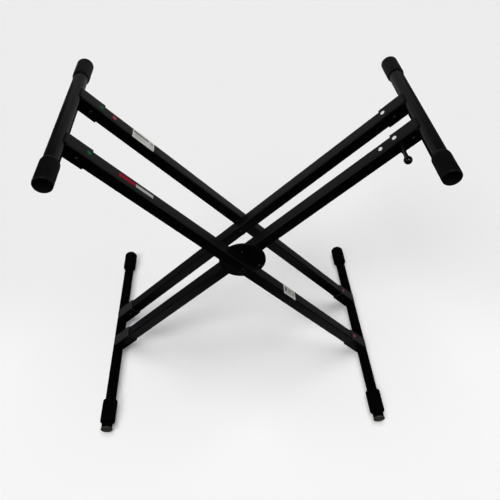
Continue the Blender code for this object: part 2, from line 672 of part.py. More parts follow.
def add_spring(axis, paint):
    """Compression spring round the rod, and the stop in the brace that it pushes against."""
    place = (0, -INNER_SPREAD, 0)
    stop_far = SPRING_STOP_REACH + SPRING_STOP_THICKNESS
    block = brace_block(SPRING_STOP_REACH, stop_far, SEAT_GAP)
    stop = add_piece("spring_stop", block, paint["zinc_steel"], axis, place)
    rod_hole = rod_along_x(
        SPRING_STOP_REACH - CUT_MARGIN, stop_far + CUT_MARGIN, ROD_RADIUS + SLIDE_CLEARANCE, SMALL_SIDES
    )
    cut(stop, add_guide("rod_hole_cutter", rod_hole, axis, place))

    near = PAWL_NEAR + PAWL_LENGTH + SPRING_WIRE_RADIUS + SEAT_GAP
    far = SPRING_STOP_REACH - SPRING_WIRE_RADIUS - SEAT_GAP
    coil = bpy.data.curves.new("release_spring", "CURVE")
    coil.dimensions = "3D"
    coil.bevel_depth = SPRING_WIRE_RADIUS
    coil.bevel_resolution = 1
    coil.use_fill_caps = True
    coil.materials.append(paint["zinc_steel"])
    steps = SPRING_TURNS * SPRING_STEPS
    spline = coil.splines.new("POLY")
    spline.points.add(steps)
    for step, point in enumerate(spline.points):
        angle = 2 * math.pi * step / SPRING_STEPS
        x = near + (far - near) * step / steps
        point.co = (x, SPRING_RADIUS * math.cos(angle), SPRING_RADIUS * math.sin(angle), 1.0)
    spring = bpy.data.objects.new("release_spring", coil)
    bpy.context.collection.objects.link(spring)
    spring.parent = axis
    spring.location = place


def build():
    clear_scene()
    paint = {
        "black_steel": finish("black_steel", (0.012, 0.012, 0.013), 0.45, 0.0),
        "rubber": finish("rubber", (0.014, 0.014, 0.014), 0.75, 0.0),
        "grey_plastic": finish("grey_plastic", (0.52, 0.52, 0.46), 0.5, 0.0),
        "bolt_steel": finish("bolt_steel", (0.03, 0.03, 0.032), 0.4, 0.8),
        "zinc_steel": finish("zinc_steel", (0.45, 0.46, 0.47), 0.35, 0.9),
        "nylon": finish("nylon", (0.05, 0.05, 0.05), 0.5, 0.0),
    }
    pivot = (0.0, 0.0, PIVOT_HEIGHT)
    outer_axis = add_empty("outer_frame_axis", pivot, FRAME_TILT)
    inner_axis = add_empty("inner_frame_axis", pivot, -FRAME_TILT)
    release_axis = add_empty("release_axis", (0.0, 0.0, 0.0), parent=inner_axis)

    floor_half = 2 * LEG_REACH
    outline = [(-floor_half, 0), (floor_half, 0), (floor_half, -PIVOT_HEIGHT), (-floor_half, -PIVOT_HEIGHT)]
    floor = add_guide("floor_cutter", plate_along_y(outline, -LEG_SPAN, LEG_SPAN), None)
    add_frame(Frame("outer", outer_axis, -1, OUTER_SPREAD, SOCKET_BOLT_INSET), paint, floor)
    add_frame(Frame("inner", inner_axis, 1, INNER_SPREAD, KNOB_SIDE_BOLT_INSET), paint, floor)
    add_pivots(outer_axis, paint)
    add_lock(outer_axis, paint)
    add_release(inner_axis, release_axis, paint)
    add_spring(inner_axis, paint)


build()
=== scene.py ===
# %% [markdown]
# # Dressing a folding keyboard stand
#
# The stand is two frames of square tube that cross at a lock, with round arms on top and round legs
# on the floor. Its solid model comes in here as a fixed frame. It is sound, but plain: its round parts
# have few sides, and every part has one flat colour. This lesson builds the surface that a buyer
# would see, piece by piece, in the same place and in metres.

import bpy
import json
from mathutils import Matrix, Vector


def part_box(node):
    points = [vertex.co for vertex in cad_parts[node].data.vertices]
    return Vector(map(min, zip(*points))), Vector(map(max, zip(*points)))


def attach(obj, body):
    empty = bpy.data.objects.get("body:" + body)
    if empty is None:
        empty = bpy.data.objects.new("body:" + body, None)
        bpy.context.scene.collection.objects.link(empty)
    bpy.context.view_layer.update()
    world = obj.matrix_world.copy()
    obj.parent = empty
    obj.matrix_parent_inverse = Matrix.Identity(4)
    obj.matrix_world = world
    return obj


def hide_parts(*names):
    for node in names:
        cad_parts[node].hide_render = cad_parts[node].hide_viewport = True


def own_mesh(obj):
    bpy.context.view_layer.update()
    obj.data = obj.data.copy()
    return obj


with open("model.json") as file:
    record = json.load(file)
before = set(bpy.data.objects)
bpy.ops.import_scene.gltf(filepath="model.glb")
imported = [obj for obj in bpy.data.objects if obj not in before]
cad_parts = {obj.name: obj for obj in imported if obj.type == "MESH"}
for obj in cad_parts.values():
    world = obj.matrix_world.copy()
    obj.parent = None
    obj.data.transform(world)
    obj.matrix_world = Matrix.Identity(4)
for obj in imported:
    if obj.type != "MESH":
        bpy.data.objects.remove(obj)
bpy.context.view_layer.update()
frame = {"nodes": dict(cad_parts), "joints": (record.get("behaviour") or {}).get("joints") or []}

import json
import math

import bmesh
import bpy
from mathutils import Matrix, Vector, noise

# %% [markdown]
# ## The camera
#
# The picture looks down on the stand from the front, a little left of its middle. Its place, turns and
# lens come from matching the stand's outlines with the photograph's. A Track To constraint could aim
# it, but a measured view also has a small roll, so plain rotations are multiplied here. The lens shift
# stands for the crop of the photograph.

# %% Camera
CAMERA_PLACE = (-0.0612, -0.9058, 1.3212)
CAMERA_TURN = math.radians(-3.52)
CAMERA_DIP = math.radians(43.67)
CAMERA_ROLL = math.radians(1.19)
CAMERA_LENS_MM, SENSOR_WIDTH_MM = 36.77, 36.0
CAMERA_SHIFT = (0.0213, -0.0553)


def add_object(name, data):
    """An object in the scene that shows the data."""
    item = bpy.data.objects.new(name, data)
    bpy.context.scene.collection.objects.link(item)
    return item


camera_data = bpy.data.cameras.new("camera")
camera_data.lens = CAMERA_LENS_MM
camera_data.sensor_width = SENSOR_WIDTH_MM
camera_data.shift_x, camera_data.shift_y = CAMERA_SHIFT
camera = add_object("camera", camera_data)
camera.matrix_world = (
    Matrix.Translation(CAMERA_PLACE)
    @ Matrix.Rotation(CAMERA_TURN, 4, "Z")
    @ Matrix.Rotation(math.pi / 2 - CAMERA_DIP, 4, "X")
    @ Matrix.Rotation(CAMERA_ROLL, 4, "Z")
)
bpy.context.scene.camera = camera
print("camera looks along", [round(x, 3) for x in camera.matrix_world.col[2].xyz * -1])

# %% [markdown]
# ## Where the two frames lie
#
# Each frame is easiest to model lying flat: its braces along X, its tubes along Y, the face that looks
# up along Z. One matrix per frame then lifts it to the pivot and tilts it. The pivot and the tilt come
# from the record's own joints, so they can't disagree with the model.

# %% Frame matrices
joints = {joint["name"]: joint for joint in frame["joints"]}
pivot = Vector(joints["fold"]["pos_m"])
slide_axis = Vector(joints["release"]["axis"])
tilt = math.atan2(slide_axis.z, slide_axis.x)

SIDES = {"outer": -1, "inner": 1}
WHERE = {"front": -1, "rear": 1}
BODY = {"outer": "outer_frame", "inner": "inner_frame", "release": "release"}
LIE = {}
for name, side in SIDES.items():
    LIE[name] = Matrix.Translation(pivot) @ Matrix.Rotation(-side * tilt, 4, "Y")
print("pivot height", round(pivot.z, 4), "m, tilt", round(math.degrees(tilt), 2), "degrees")

# %% [markdown]
# ## Sizes
#
# These are the CAD model's own sizes, in metres. They are repeated because this script reads nothing
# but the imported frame. Each finished piece is measured against the node that it stands for.

# %% Sizes
ARM_REACH, LEG_REACH = 0.5150, 0.5145
ARM_RADIUS, LEG_RADIUS, TUBE_WALL = 0.0158, 0.0140, 0.0012
ARM_SPAN, LEG_SPAN = 0.4370, 0.6150
SPREAD = {"outer": 0.0836, "inner": 0.0480}
BRACE_WIDTH, BRACE_HEIGHT, BRACE_CORNER = 0.0300, 0.0290, 0.0030
SEAT_GAP = 0.0003
SOCKET_WALL, SOCKET_CORNER = 0.0022, 0.0035
SOCKET_WIDTH = BRACE_WIDTH + 2 * (SEAT_GAP + SOCKET_WALL)
SOCKET_HEIGHT = BRACE_HEIGHT + 2 * (SEAT_GAP + SOCKET_WALL)
ARM_SOCKET_LENGTH, LEG_SOCKET_LENGTH, SOCKET_SETBACK = 0.0653, 0.0680, 0.0050
ROUND_SIDES = 72
BORE_SIDES = 40
print("sockets are", round(SOCKET_WIDTH * 1000, 1), "x", round(SOCKET_HEIGHT * 1000, 1), "mm outside")

# %% [markdown]
# ## Finishes: the shared effects
#
# Nearly everything here is black, and what tells one black from another is how light breaks up on it.
# Powder coat has a fine orange peel and is a little rubbed on its corners. Moulded rubber has a dull
# speckle. Four effects are shared, so each is a node group, built once and given its own numbers in
# every material: a fine grain for bumps, an uneven tone, a mask for rubbed edges, and a lighter layer
# on upward faces, which is settled dust in small amounts and painted top light where it is turned up.

# %% Helpers for node groups
def feed(tree, node, inputs):
    """Link every input that is given a socket, and set every input that is given a value."""
    for label, value in inputs.items():
        if isinstance(value, bpy.types.NodeSocket):
            tree.links.new(value, node.inputs[label])
        else:
            node.inputs[label].default_value = value


def add_node(tree, kind, inputs=None, **settings):
    """A new node. Settings come first, because they decide which inputs a node has."""
    node = tree.nodes.new("ShaderNode" + kind)
    for label, value in settings.items():
        setattr(node, label, value)
    feed(tree, node, inputs or {})
    return node


def math_node(tree, operation, *values, clamp=False):
    node = add_node(tree, "Math", dict(enumerate(values)), operation=operation, use_clamp=clamp)
    return node.outputs[0]


def mix_node(tree, kind, share, first, second):
    """A blend of two colours ("RGBA") or of two numbers ("FLOAT")."""
    node = add_node(tree, "Mix", {"Factor": share, "A": first, "B": second}, data_type=kind)
    return node.outputs["Result"]


def noise_node(tree, scale, detail=2.0, roughness=0.5):
    """Three-dimensional noise in the piece's own coordinates, so it never slides or needs a UV map."""
    place = add_node(tree, "TexCoord").outputs["Object"]
    inputs = {"Vector": place, "Scale": scale, "Detail": detail, "Roughness": roughness}
    return add_node(tree, "TexNoise", inputs).outputs["Fac"]


def map_range(tree, value, low, high, start=0.0, kind="LINEAR"):
    """How far the value lies from low to high, given as a number from start to one."""
    inputs = {"Value": value, "From Min": low, "From Max": high, "To Min": start}
    return add_node(tree, "MapRange", inputs, interpolation_type=kind).outputs["Result"]


def new_group(name, inputs):
    """A shader node group with a socket for each named input, and those sockets inside it."""
    group = bpy.data.node_groups.new(name, "ShaderNodeTree")
    for label, value in inputs.items():
        kind = "NodeSocketColor" if isinstance(value, tuple) else "NodeSocketFloat"
        group.interface.new_socket(label, in_out="INPUT", socket_type=kind).default_value = value
    return group, group.nodes.new("NodeGroupInput").outputs


def close_group(group, outputs):
    """Give the group its named outputs."""
    for label, value in outputs.items():
        kind = "NodeSocketColor" if value.type == "RGBA" else "NodeSocketFloat"
        group.interface.new_socket(label, in_out="OUTPUT", socket_type=kind)
    feed(group, group.nodes.new("NodeGroupOutput"), outputs)
    print(group.name, "has", len(group.nodes), "nodes")


print("node helpers ready")

# %% Group: surface grain
COARSE_SCALE = 0.23
grain, given = new_group("surface_grain", {"Scale": 900.0, "Coarse share": 0.4})
fine = noise_node(grain, given["Scale"], detail=1.0)
coarse = noise_node(grain, math_node(grain, "MULTIPLY", given["Scale"], COARSE_SCALE), detail=2.0)
coarse_part = math_node(grain, "MULTIPLY", coarse, given["Coarse share"])
close_group(grain, {"Height": math_node(grain, "ADD", fine, coarse_part)})

# %% Group: uneven tone
MID_GREY = (0.5, 0.5, 0.5, 1.0)
tone_inputs = {"Colour": MID_GREY, "Other colour": MID_GREY}
tone_inputs |= {"Roughness low": 0.4, "Roughness high": 0.5, "Scale": 30.0}
tone, given = new_group("uneven_tone", tone_inputs)
patches = noise_node(tone, given["Scale"], detail=4.0, roughness=0.6)
spread = map_range(tone, patches, 0.35, 0.65)
colour_mix = mix_node(tone, "RGBA", spread, given["Colour"], given["Other colour"])
rough_mix = mix_node(tone, "FLOAT", spread, given["Roughness low"], given["Roughness high"])
close_group(tone, {"Colour": colour_mix, "Roughness": rough_mix})

# %% Group: rubbed edges
EDGE_GAIN = 9.0
rubbed, given = new_group("rubbed_edges", {"Width": 0.0008, "Amount": 0.6})
edge_normal = add_node(rubbed, "Bevel", {"Radius": given["Width"]}, samples=4).outputs["Normal"]
true_normal = add_node(rubbed, "NewGeometry").outputs["Normal"]
likeness = add_node(rubbed, "VectorMath", {0: edge_normal, 1: true_normal}, operation="DOT_PRODUCT")
bend = math_node(rubbed, "SUBTRACT", 1.0, likeness.outputs["Value"], clamp=True)
sharpness = math_node(rubbed, "MULTIPLY", bend, EDGE_GAIN, clamp=True)
broken = math_node(rubbed, "MULTIPLY", sharpness, noise_node(rubbed, 160.0, detail=3.0))
close_group(rubbed, {"Mask": math_node(rubbed, "MULTIPLY", broken, given["Amount"], clamp=True)})

# %% Group: settled dust and painted top light
# Upward faces get a patchy lighter layer. In small amounts it is settled dust; turned up high, as on the leg
# sockets, it is painted light that makes the tops lighter than the sides.
dust_and_top_light_group, given = new_group("dust_and_painted_top_light", {"Amount": 0.2})
facing = add_node(dust_and_top_light_group, "NewGeometry").outputs["Normal"]
facing_up = add_node(dust_and_top_light_group, "SeparateXYZ", {"Vector": facing}).outputs["Z"]
upward = math_node(dust_and_top_light_group, "POWER", math_node(dust_and_top_light_group, "MAXIMUM", facing_up, 0.0), 3.0)
patchy_upward_layer = math_node(dust_and_top_light_group, "MULTIPLY", noise_node(dust_and_top_light_group, 220.0, detail=5.0, roughness=0.7), upward)
close_group(dust_and_top_light_group, {"Mask": math_node(dust_and_top_light_group, "MULTIPLY", patchy_upward_layer, given["Amount"], clamp=True)})

# %% [markdown]
# ## Finishes: the materials
#
# A finish is one Principled shader fed by the groups. The numbers that are the same all over, such as
# the metallic share or the strength of reflections, sit on the shader's own sockets, because an
# exporter reads them from there. What changes over the surface comes in through links.

# %% A helper that mixes one material
RUBBED_SHARE = 0.7
# The lighter layer on upward faces: settled dust in small amounts, painted top light in large ones.
DUST_AND_TOP_LIGHT_COLOUR, DUST_AND_TOP_LIGHT_ROUGHNESS = (0.19, 0.19, 0.19), 0.9


def make_finish(
    name, colour, other, roughness, grain_scale, grain_depth, rub=None, dust_and_top_light=0.0, specular=0.5, metallic=0.0
):
    """A material with uneven tone, grain in its bump, rubbed edges where they are asked for, and a lighter
    layer on upward faces: dust in small amounts, painted top light in large ones.
    """
    material = bpy.data.materials.new(name)
    material.use_nodes = True
    tree = material.node_tree

    def use(group, inputs):
        return add_node(tree, "Group", inputs, node_tree=group).outputs

    low, high = roughness
    tone_inputs = {"Colour": (*colour, 1.0), "Other colour": (*other, 1.0)}
    tone_inputs |= {"Roughness low": low, "Roughness high": high}
    uneven = use(tone, tone_inputs)
    colour_out, roughness_out = uneven["Colour"], uneven["Roughness"]
    layers = []
    if rub:
        layers.append((use(rubbed, {"Amount": rub[1]})["Mask"], rub[0], low * RUBBED_SHARE))
    if dust_and_top_light:
        layers.append((use(dust_and_top_light_group, {"Amount": dust_and_top_light})["Mask"], DUST_AND_TOP_LIGHT_COLOUR, DUST_AND_TOP_LIGHT_ROUGHNESS))
    for mask, layer_colour, layer_roughness in layers:
        colour_out = mix_node(tree, "RGBA", mask, colour_out, (*layer_colour, 1.0))
        roughness_out = mix_node(tree, "FLOAT", mask, roughness_out, layer_roughness)
    height = use(grain, {"Scale": grain_scale})["Height"]
    bump = add_node(tree, "Bump", {"Height": height, "Strength": 1.0, "Distance": grain_depth})
    shader = tree.nodes["Principled BSDF"]
    feed(tree, shader, {"Metallic": metallic, "Specular IOR Level": specular, "Base Color": colour_out})
    feed(tree, shader, {"Roughness": roughness_out, "Normal": bump.outputs["Normal"]})
    return material


def grey(level):
    return (level, level, level)


print("make_finish ready")

# %% The finishes of this stand
finishes = {
    "brace_coat": make_finish(
        "satin_black_powder_coat", (0.0014, 0.0014, 0.0015), (0.0024, 0.0024, 0.0025), (0.29, 0.36),
        1100.0, 0.00004, rub=(grey(0.04), 0.5), dust_and_top_light=0.012,
    ),
    "arm_coat": make_finish(
        "smooth_black_enamel", (0.0022, 0.0023, 0.0030), (0.0034, 0.0035, 0.0044), (0.20, 0.27),
        1300.0, 0.00002, dust_and_top_light=0.008,
    ),
    "leg_coat": make_finish(
        "dull_black_powder_coat", grey(0.0004), grey(0.0008), (0.58, 0.70), 1100.0, 0.00004, specular=0.08
    ),
    "grip_rubber": make_finish(
        "black_grip_rubber", grey(0.0014), grey(0.0022), (0.38, 0.50), 1600.0, 0.00003, specular=0.40
    ),
    "foot_rubber": make_finish(
        "black_foot_rubber", grey(0.0004), grey(0.0007), (0.66, 0.78), 1400.0, 0.00005, specular=0.10
    ),
    "plug_plastic": make_finish(
        "olive_grey_plastic", (0.075, 0.075, 0.064), (0.105, 0.105, 0.090), (0.45, 0.58),
        900.0, 0.00002, specular=0.4,
    ),
    "black_fastener": make_finish(
        "black_oxide_steel", (0.016, 0.016, 0.017), (0.026, 0.026, 0.027), (0.30, 0.42),
        1500.0, 0.00001, rub=((0.22, 0.21, 0.20), 0.7), metallic=0.85,
    ),
    "cover_coat": make_finish(
        "pressed_black_steel", grey(0.0012), (0.0020, 0.0020, 0.0021), (0.42, 0.52),
        1200.0, 0.00003, rub=(grey(0.06), 0.5), specular=0.3,
    ),
    "zinc_plate": make_finish(
        "zinc_plated_steel", (0.42, 0.43, 0.43), (0.55, 0.55, 0.52), (0.28, 0.42),
        700.0, 0.00001, metallic=1.0,
    ),
    "spring_steel": make_finish(
        "spring_wire", (0.30, 0.30, 0.31), grey(0.38), (0.22, 0.32), 1800.0, 0.00001, metallic=1.0
    ),
    "polished_knob": make_finish(
        "polished_black_enamel", (0.0024, 0.0024, 0.0025), (0.0034, 0.0034, 0.0035), (0.13, 0.20),
        900.0, 0.00001, rub=(grey(0.05), 0.4), specular=0.9,
    ),
    # Painted light: the upward layer is turned up to 0.85 here, so the leg sockets' tops are painted
    # lighter, as if lit from above; it is not dust.
    "leg_socket_coat": make_finish(
        "leg_socket_coat_painted_top_light", grey(0.0030), grey(0.0050), (0.30, 0.38),
        1100.0, 0.00004, rub=(grey(0.04), 0.5), dust_and_top_light=0.85, specular=0.15,
    ),
    "moulded_nylon": make_finish("black_nylon", grey(0.010), grey(0.014), (0.42, 0.52), 800.0, 0.00002),
}
print(len(finishes), "finishes:", ", ".join(sorted(finishes)))

# %% [markdown]
# ## Building round things
#
# Tubes, grips, sleeves, plugs, bolts and the knob are turned shapes: a half outline, given as pairs of
# distance along Y and radius, is spun round Y. A Screw modifier could do that, but a function that
# places each ring itself can also press ribs into the skin. Real edges are never sharp, so corners are
# rounded off before the outline is spun, and the small arc catches the light.

# %% Outline and lathe helpers
def rounded(outline, radius, steps=3):
    """The outline with its inner corners replaced by short arcs."""
    points = [outline[0]]
    for before, corner, after in zip(outline, outline[1:], outline[2:]):
        before, corner, after = Vector(before), Vector(corner), Vector(after)
        room = min((before - corner).length, (after - corner).length) * 0.45
        cut = min(radius, room)
        start = corner + (before - corner).normalized() * cut
        end = corner + (after - corner).normalized() * cut
        for step in range(steps + 1):
            t = step / steps
            points.append(tuple(start * (1 - t) ** 2 + corner * 2 * t * (1 - t) + end * t * t))
    return points + [outline[-1]]


def arc(middle, width, height, start, turn, steps):
    """Points on part of an ellipse, from the start angle on."""
    points = []
    for step in range(steps + 1):
        angle = start + turn * step / steps
        points.append((middle[0] + width * math.cos(angle), middle[1] + height * math.sin(angle)))
    return points


def mesh_of(bm, name):
    """A mesh whose faces look outward. It uses up the BMesh."""
    bmesh.ops.recalc_face_normals(bm, faces=bm.faces)
    mesh = bpy.data.meshes.new(name)
    bm.to_mesh(mesh)
    bm.free()
    return mesh


def join_rings(bm, rings, sides):
    """Faces between neighbouring rings. A ring of one point closes the end with triangles."""
    for first, second in zip(rings, rings[1:]):
        for side in range(sides):
            after = (side + 1) % sides
            corners = {first[side % len(first)]: 0, first[after % len(first)]: 0}
            corners.update({second[after % len(second)]: 0, second[side % len(second)]: 0})
            bm.faces.new(list(corners))


def lathe(outline, sides, skin=None):
    """Spin (along Y, radius) points round Y. skin(along, radius, angle) can change the radius."""
    bm = bmesh.new()
    rings = []
    for along, radius in outline:
        if radius < 1e-6:
            rings.append([bm.verts.new((0.0, along, 0.0))])
            continue
        ring = []
        for side in range(sides):
            angle = 2 * math.pi * side / sides
            r = skin(along, radius, angle) if skin else radius
            ring.append(bm.verts.new((r * math.sin(angle), along, r * math.cos(angle))))
        rings.append(ring)
    if len(rings[0]) > 1:
        rings.append(rings[0])
    join_rings(bm, rings, sides)
    return bm


print("a rounded square outline has", len(rounded([(0, 0), (0, 1), (1, 1), (1, 0)], 0.1)), "points")

# %% [markdown]
# ## Putting a piece in its place
#
# Every piece ends the same way: its faces look outward, flat faces stay flat while rounded corners
# shade smoothly, it gets its finish, it rides on a body of the model, and the CAD node that it stands
# for, if any, is hidden and its fit printed. A weighted-normal modifier keeps the flats flat, so the
# reflection doesn't bulge.

# %% Helper that adds a finished piece
SMOOTH_ANGLE = math.radians(34)


def fit_error_mm(piece, node):
    """The largest difference between the boxes of a piece and its CAD node."""
    bpy.context.view_layer.update()
    corners = [piece.matrix_world @ Vector(vertex.co) for vertex in piece.data.vertices]
    low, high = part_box(node)
    worst = 0.0
    for axis in range(3):
        worst = max(worst, abs(min(c[axis] for c in corners) - low[axis]))
        worst = max(worst, abs(max(c[axis] for c in corners) - high[axis]))
    return round(worst * 1000, 2)


def add_piece(name, shape, finish, on, place, replaces=()):
    """A piece made of a BMesh or a mesh, in one of the finishes, on a frame or on the release."""
    mesh = shape
    if isinstance(shape, bmesh.types.BMesh):
        mesh = mesh_of(shape, name)
        mesh.shade_smooth()
        mesh.set_sharp_from_angle(angle=SMOOTH_ANGLE)
    if not mesh.materials:
        mesh.materials.append(finishes[finish])
    piece = add_object(name, mesh)
    piece.matrix_world = place
    piece.modifiers.new("flat_faces", "WEIGHTED_NORMAL").keep_sharp = True
    body = BODY[on]
    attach(piece, body)
    if replaces:
        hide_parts(*replaces)
        print(name, "fits to", fit_error_mm(piece, replaces[0]), "mm")
    return piece


def tube_reach(name, end):
    """How far along its frame a cross tube lies."""
    return SIDES[name] * (ARM_REACH if end == "arm" else -LEG_REACH)


def on_tube(name, end):
    """The matrix of a cross tube, which isn't tilted."""
    return Matrix.Translation(LIE[name] @ Vector((tube_reach(name, end), 0.0, 0.0)))


def on_brace(name, where, reach=0.0, height=0.0):
    """The matrix of a place in a brace, tilted with it: along it, and above its middle."""
    return LIE[name] @ Matrix.Translation((reach, WHERE[where] * SPREAD[name], height))


print("add_piece ready")

# %% [markdown]
# ## Arms and legs
#
# The cross tubes are plain drawn steel. Seventy-two sides make the outline smooth even close up, and
# the wall is real, so the ends look right where a cap doesn't hide them.

# %% Arms and legs
GRIP_END_WALL = 0.0040
PLUG_HEAD = 0.0025
TUBES = {
    "arm": (ARM_SPAN / 2 - GRIP_END_WALL - SEAT_GAP, ARM_RADIUS),
    "leg": (LEG_SPAN / 2 - PLUG_HEAD, LEG_RADIUS),
}
for name in SIDES:
    for end, (half, radius) in TUBES.items():
        outline = [(-half, radius - TUBE_WALL), (-half, radius), (half, radius), (half, radius - TUBE_WALL)]
        node = f"{name}_{end}"
        tube = lathe(outline, ROUND_SIDES)
        add_piece(f"{node}_tube", tube, f"{end}_coat", name, on_tube(name, end), [node])

# %% [markdown]
# ## Ribbed arm grips
#
# Each arm ends in a closed rubber grip with lengthwise ribs for the fingers, a soft shoulder at its
# mouth and a dished end. The ribs are real geometry: the skin function lowers the radius in narrow
# valleys between broad ribs, and fades them out on the shoulder and before the rounded end.

# %% Grips
GRIP_RADIUS, GRIP_LENGTH, GRIP_SHOULDER, GRIP_ROUNDING = 0.0187, 0.0660, 0.0065, 0.0030
GRIP_LIP, PLAIN_END = 0.0004, 0.0040
SHOULDER_SHARE, SHOULDER_DROP = 0.86, 0.0001
GRIP_STEPS, ROUNDING_STEPS, DISH_STEPS = 14, 6, 12
GRIP_RIBS, RIB_SAMPLES, RIB_DEPTH = 32, 8, 0.0011
RIB_START, RIB_FADE_IN, RIB_END, RIB_FADE_OUT = 0.0030, 0.0060, 0.0016, 0.0030
RIBS_REACH_DOWN = 0.0012
DISH_RADIUS, DISH_DEPTH = 0.0150, 0.0034


def grip_outline():
    """From the bore, round the mouth and shoulder, along the ribs, to the dished end, which is at zero."""
    bore = ARM_RADIUS + SEAT_GAP
    mouth = -GRIP_LENGTH
    outline = [(-GRIP_END_WALL, 0.0), (-GRIP_END_WALL, bore), (mouth, bore)]
    outline += [(mouth, bore + GRIP_LIP), (mouth + GRIP_LIP, bore + 2 * GRIP_LIP)]
    outline.append((mouth + GRIP_SHOULDER * SHOULDER_SHARE, GRIP_RADIUS - SHOULDER_DROP))
    outline.append((mouth + GRIP_SHOULDER, GRIP_RADIUS))
    ribbed = GRIP_LENGTH - GRIP_SHOULDER - PLAIN_END
    for step in range(1, GRIP_STEPS):
        outline.append((mouth + GRIP_SHOULDER + ribbed * step / GRIP_STEPS, GRIP_RADIUS))
    middle = (GRIP_RADIUS - GRIP_ROUNDING, -GRIP_ROUNDING)
    rounding = arc(middle, GRIP_ROUNDING, GRIP_ROUNDING, 0.0, math.pi / 2, ROUNDING_STEPS)
    outline += [(along, radius) for radius, along in rounding]
    for step in range(DISH_STEPS + 1):
        share = 1 - step / DISH_STEPS
        outline.append((-DISH_DEPTH * (1 - share**2), DISH_RADIUS * share))
    return outline


def ribs(along, radius, angle):
    """The radius after pressing in the valleys between the ribs."""
    if radius < GRIP_RADIUS - RIBS_REACH_DOWN or along < -GRIP_LENGTH + RIB_START:
        return radius
    from_mouth = (along + GRIP_LENGTH - RIB_START) / RIB_FADE_IN
    from_end = (-RIB_END - along) / RIB_FADE_OUT
    fade = max(0.0, min(1.0, from_mouth, from_end))
    valley = 0.5 - 0.5 * math.cos(GRIP_RIBS * angle)
    return radius - RIB_DEPTH * fade * valley**2


for name in SIDES:
    for where, way in WHERE.items():
        outline = [(way * (along + ARM_SPAN / 2), radius) for along, radius in grip_outline()]
        skin = lambda along, radius, angle, way=way: ribs(way * along - ARM_SPAN / 2, radius, angle)
        grip = lathe(outline, GRIP_RIBS * RIB_SAMPLES, skin)
        node = f"{name}_arm_grip_{where}"
        add_piece(f"{node}_ribbed", grip, "grip_rubber", name, on_tube(name, "arm"), [node])

# %% [markdown]
# ## Foot sleeves
#
# The legs stand on four rubber sleeves. Each is a turned ring with soft shoulders and two shallow
# moulding lines, and a flat is sliced off it where it meets the floor, as the weight would press it.
# Bisecting the mesh and filling the cut makes the flat exact.

# %% Foot sleeves
SLEEVE_RADIUS, SLEEVE_LENGTH, SLEEVE_CHAMFER = 0.0193, 0.0600, 0.0022
FRONT_INSET, REAR_INSET = 0.0195, 0.0040
SLEEVE_STARTS = {"front": FRONT_INSET - LEG_SPAN / 2, "rear": LEG_SPAN / 2 - REAR_INSET - SLEEVE_LENGTH}
LINE_PLACE, LINE_HALF_WIDTH, LINE_DEPTH = 0.0080, 0.0005, 0.0004
SLEEVE_ROUNDING = 0.0016


def sleeve_outline():
    bore = LEG_RADIUS + SEAT_GAP
    shoulder = SLEEVE_RADIUS - SLEEVE_CHAMFER
    half = [(0.0, bore), (0.0, shoulder), (SLEEVE_CHAMFER, SLEEVE_RADIUS), (LINE_PLACE, SLEEVE_RADIUS)]
    half.append((LINE_PLACE + LINE_HALF_WIDTH, SLEEVE_RADIUS - LINE_DEPTH))
    half.append((LINE_PLACE + 2 * LINE_HALF_WIDTH, SLEEVE_RADIUS))
    return rounded(half + [(SLEEVE_LENGTH - a, r) for a, r in reversed(half)], SLEEVE_ROUNDING, 4)


for name in SIDES:
    for where, start in SLEEVE_STARTS.items():
        sleeve = lathe([(along + start, radius) for along, radius in sleeve_outline()], ROUND_SIDES)
        place = on_tube(name, "leg")
        cut = bmesh.ops.bisect_plane(
            sleeve,
            geom=sleeve.verts[:] + sleeve.edges[:] + sleeve.faces[:],
            plane_co=(0.0, 0.0, -place.translation.z),
            plane_no=(0.0, 0.0, -1.0),
            clear_outer=True,
        )
        rim = [edge for edge in cut["geom_cut"] if isinstance(edge, bmesh.types.BMEdge)]
        bmesh.ops.holes_fill(sleeve, edges=rim, sides=0)
        node = f"{name}_foot_sleeve_{where}"
        add_piece(f"{node}_moulded", sleeve, "foot_rubber", name, place, [node])

# %% [markdown]
# ## Leg plugs
#
# A plastic plug closes each end of a leg. Its head is a low button with a raised rim and a shallow
# ring, which is all that shows, so only the outline needs care.

# %% Leg plugs
PLUG_RADIUS, PLUG_STEM = 0.0152, 0.0160
PLUG_DISH, RING_DROP, PLUG_ROUNDING = 0.0007, 0.0001, 0.0007
PLUG_FACE = [(0.0, 0.0122), (-PLUG_DISH, 0.0114), (-PLUG_DISH, 0.0064), (-RING_DROP, 0.0056)]
PLUG_FACE += [(-RING_DROP, 0.0036), (-PLUG_DISH, 0.0030), (-PLUG_DISH, 0.0)]


def plug_outline():
    """The visible face is at zero, and the stem runs to negative."""
    stem = LEG_RADIUS - TUBE_WALL - SEAT_GAP
    tip = -PLUG_HEAD - PLUG_STEM
    seat = -PLUG_HEAD + SEAT_GAP
    body = [(tip, 0.0), (tip, stem), (seat, stem), (seat, PLUG_RADIUS), (0.0, PLUG_RADIUS)]
    return rounded(body + PLUG_FACE, PLUG_ROUNDING, 3)


for name in SIDES:
    for where, way in WHERE.items():
        outline = [(way * (along + LEG_SPAN / 2), radius) for along, radius in plug_outline()]
        node = f"{name}_leg_plug_{where}"
        plug = lathe(outline, ROUND_SIDES)
        add_piece(f"{node}_button", plug, "plug_plastic", name, on_tube(name, "leg"), [node])

# %% [markdown]
# ## Square tubes and sockets
#
# A brace is a folded square tube with rounded corners, and a socket is a shorter, heavier one. Both are
# the same shape with other numbers, so one function sweeps a rounded rectangle along X. The open ends
# get a small chamfer. Holes and the curved seat against the round tube are cut with booleans, which
# are applied at once, so that the weighted normals come after them.

# %% Square tube helpers
CORNER_STEPS = 7
SLOT_STEPS = 12
MERGE_DISTANCE = 1e-6


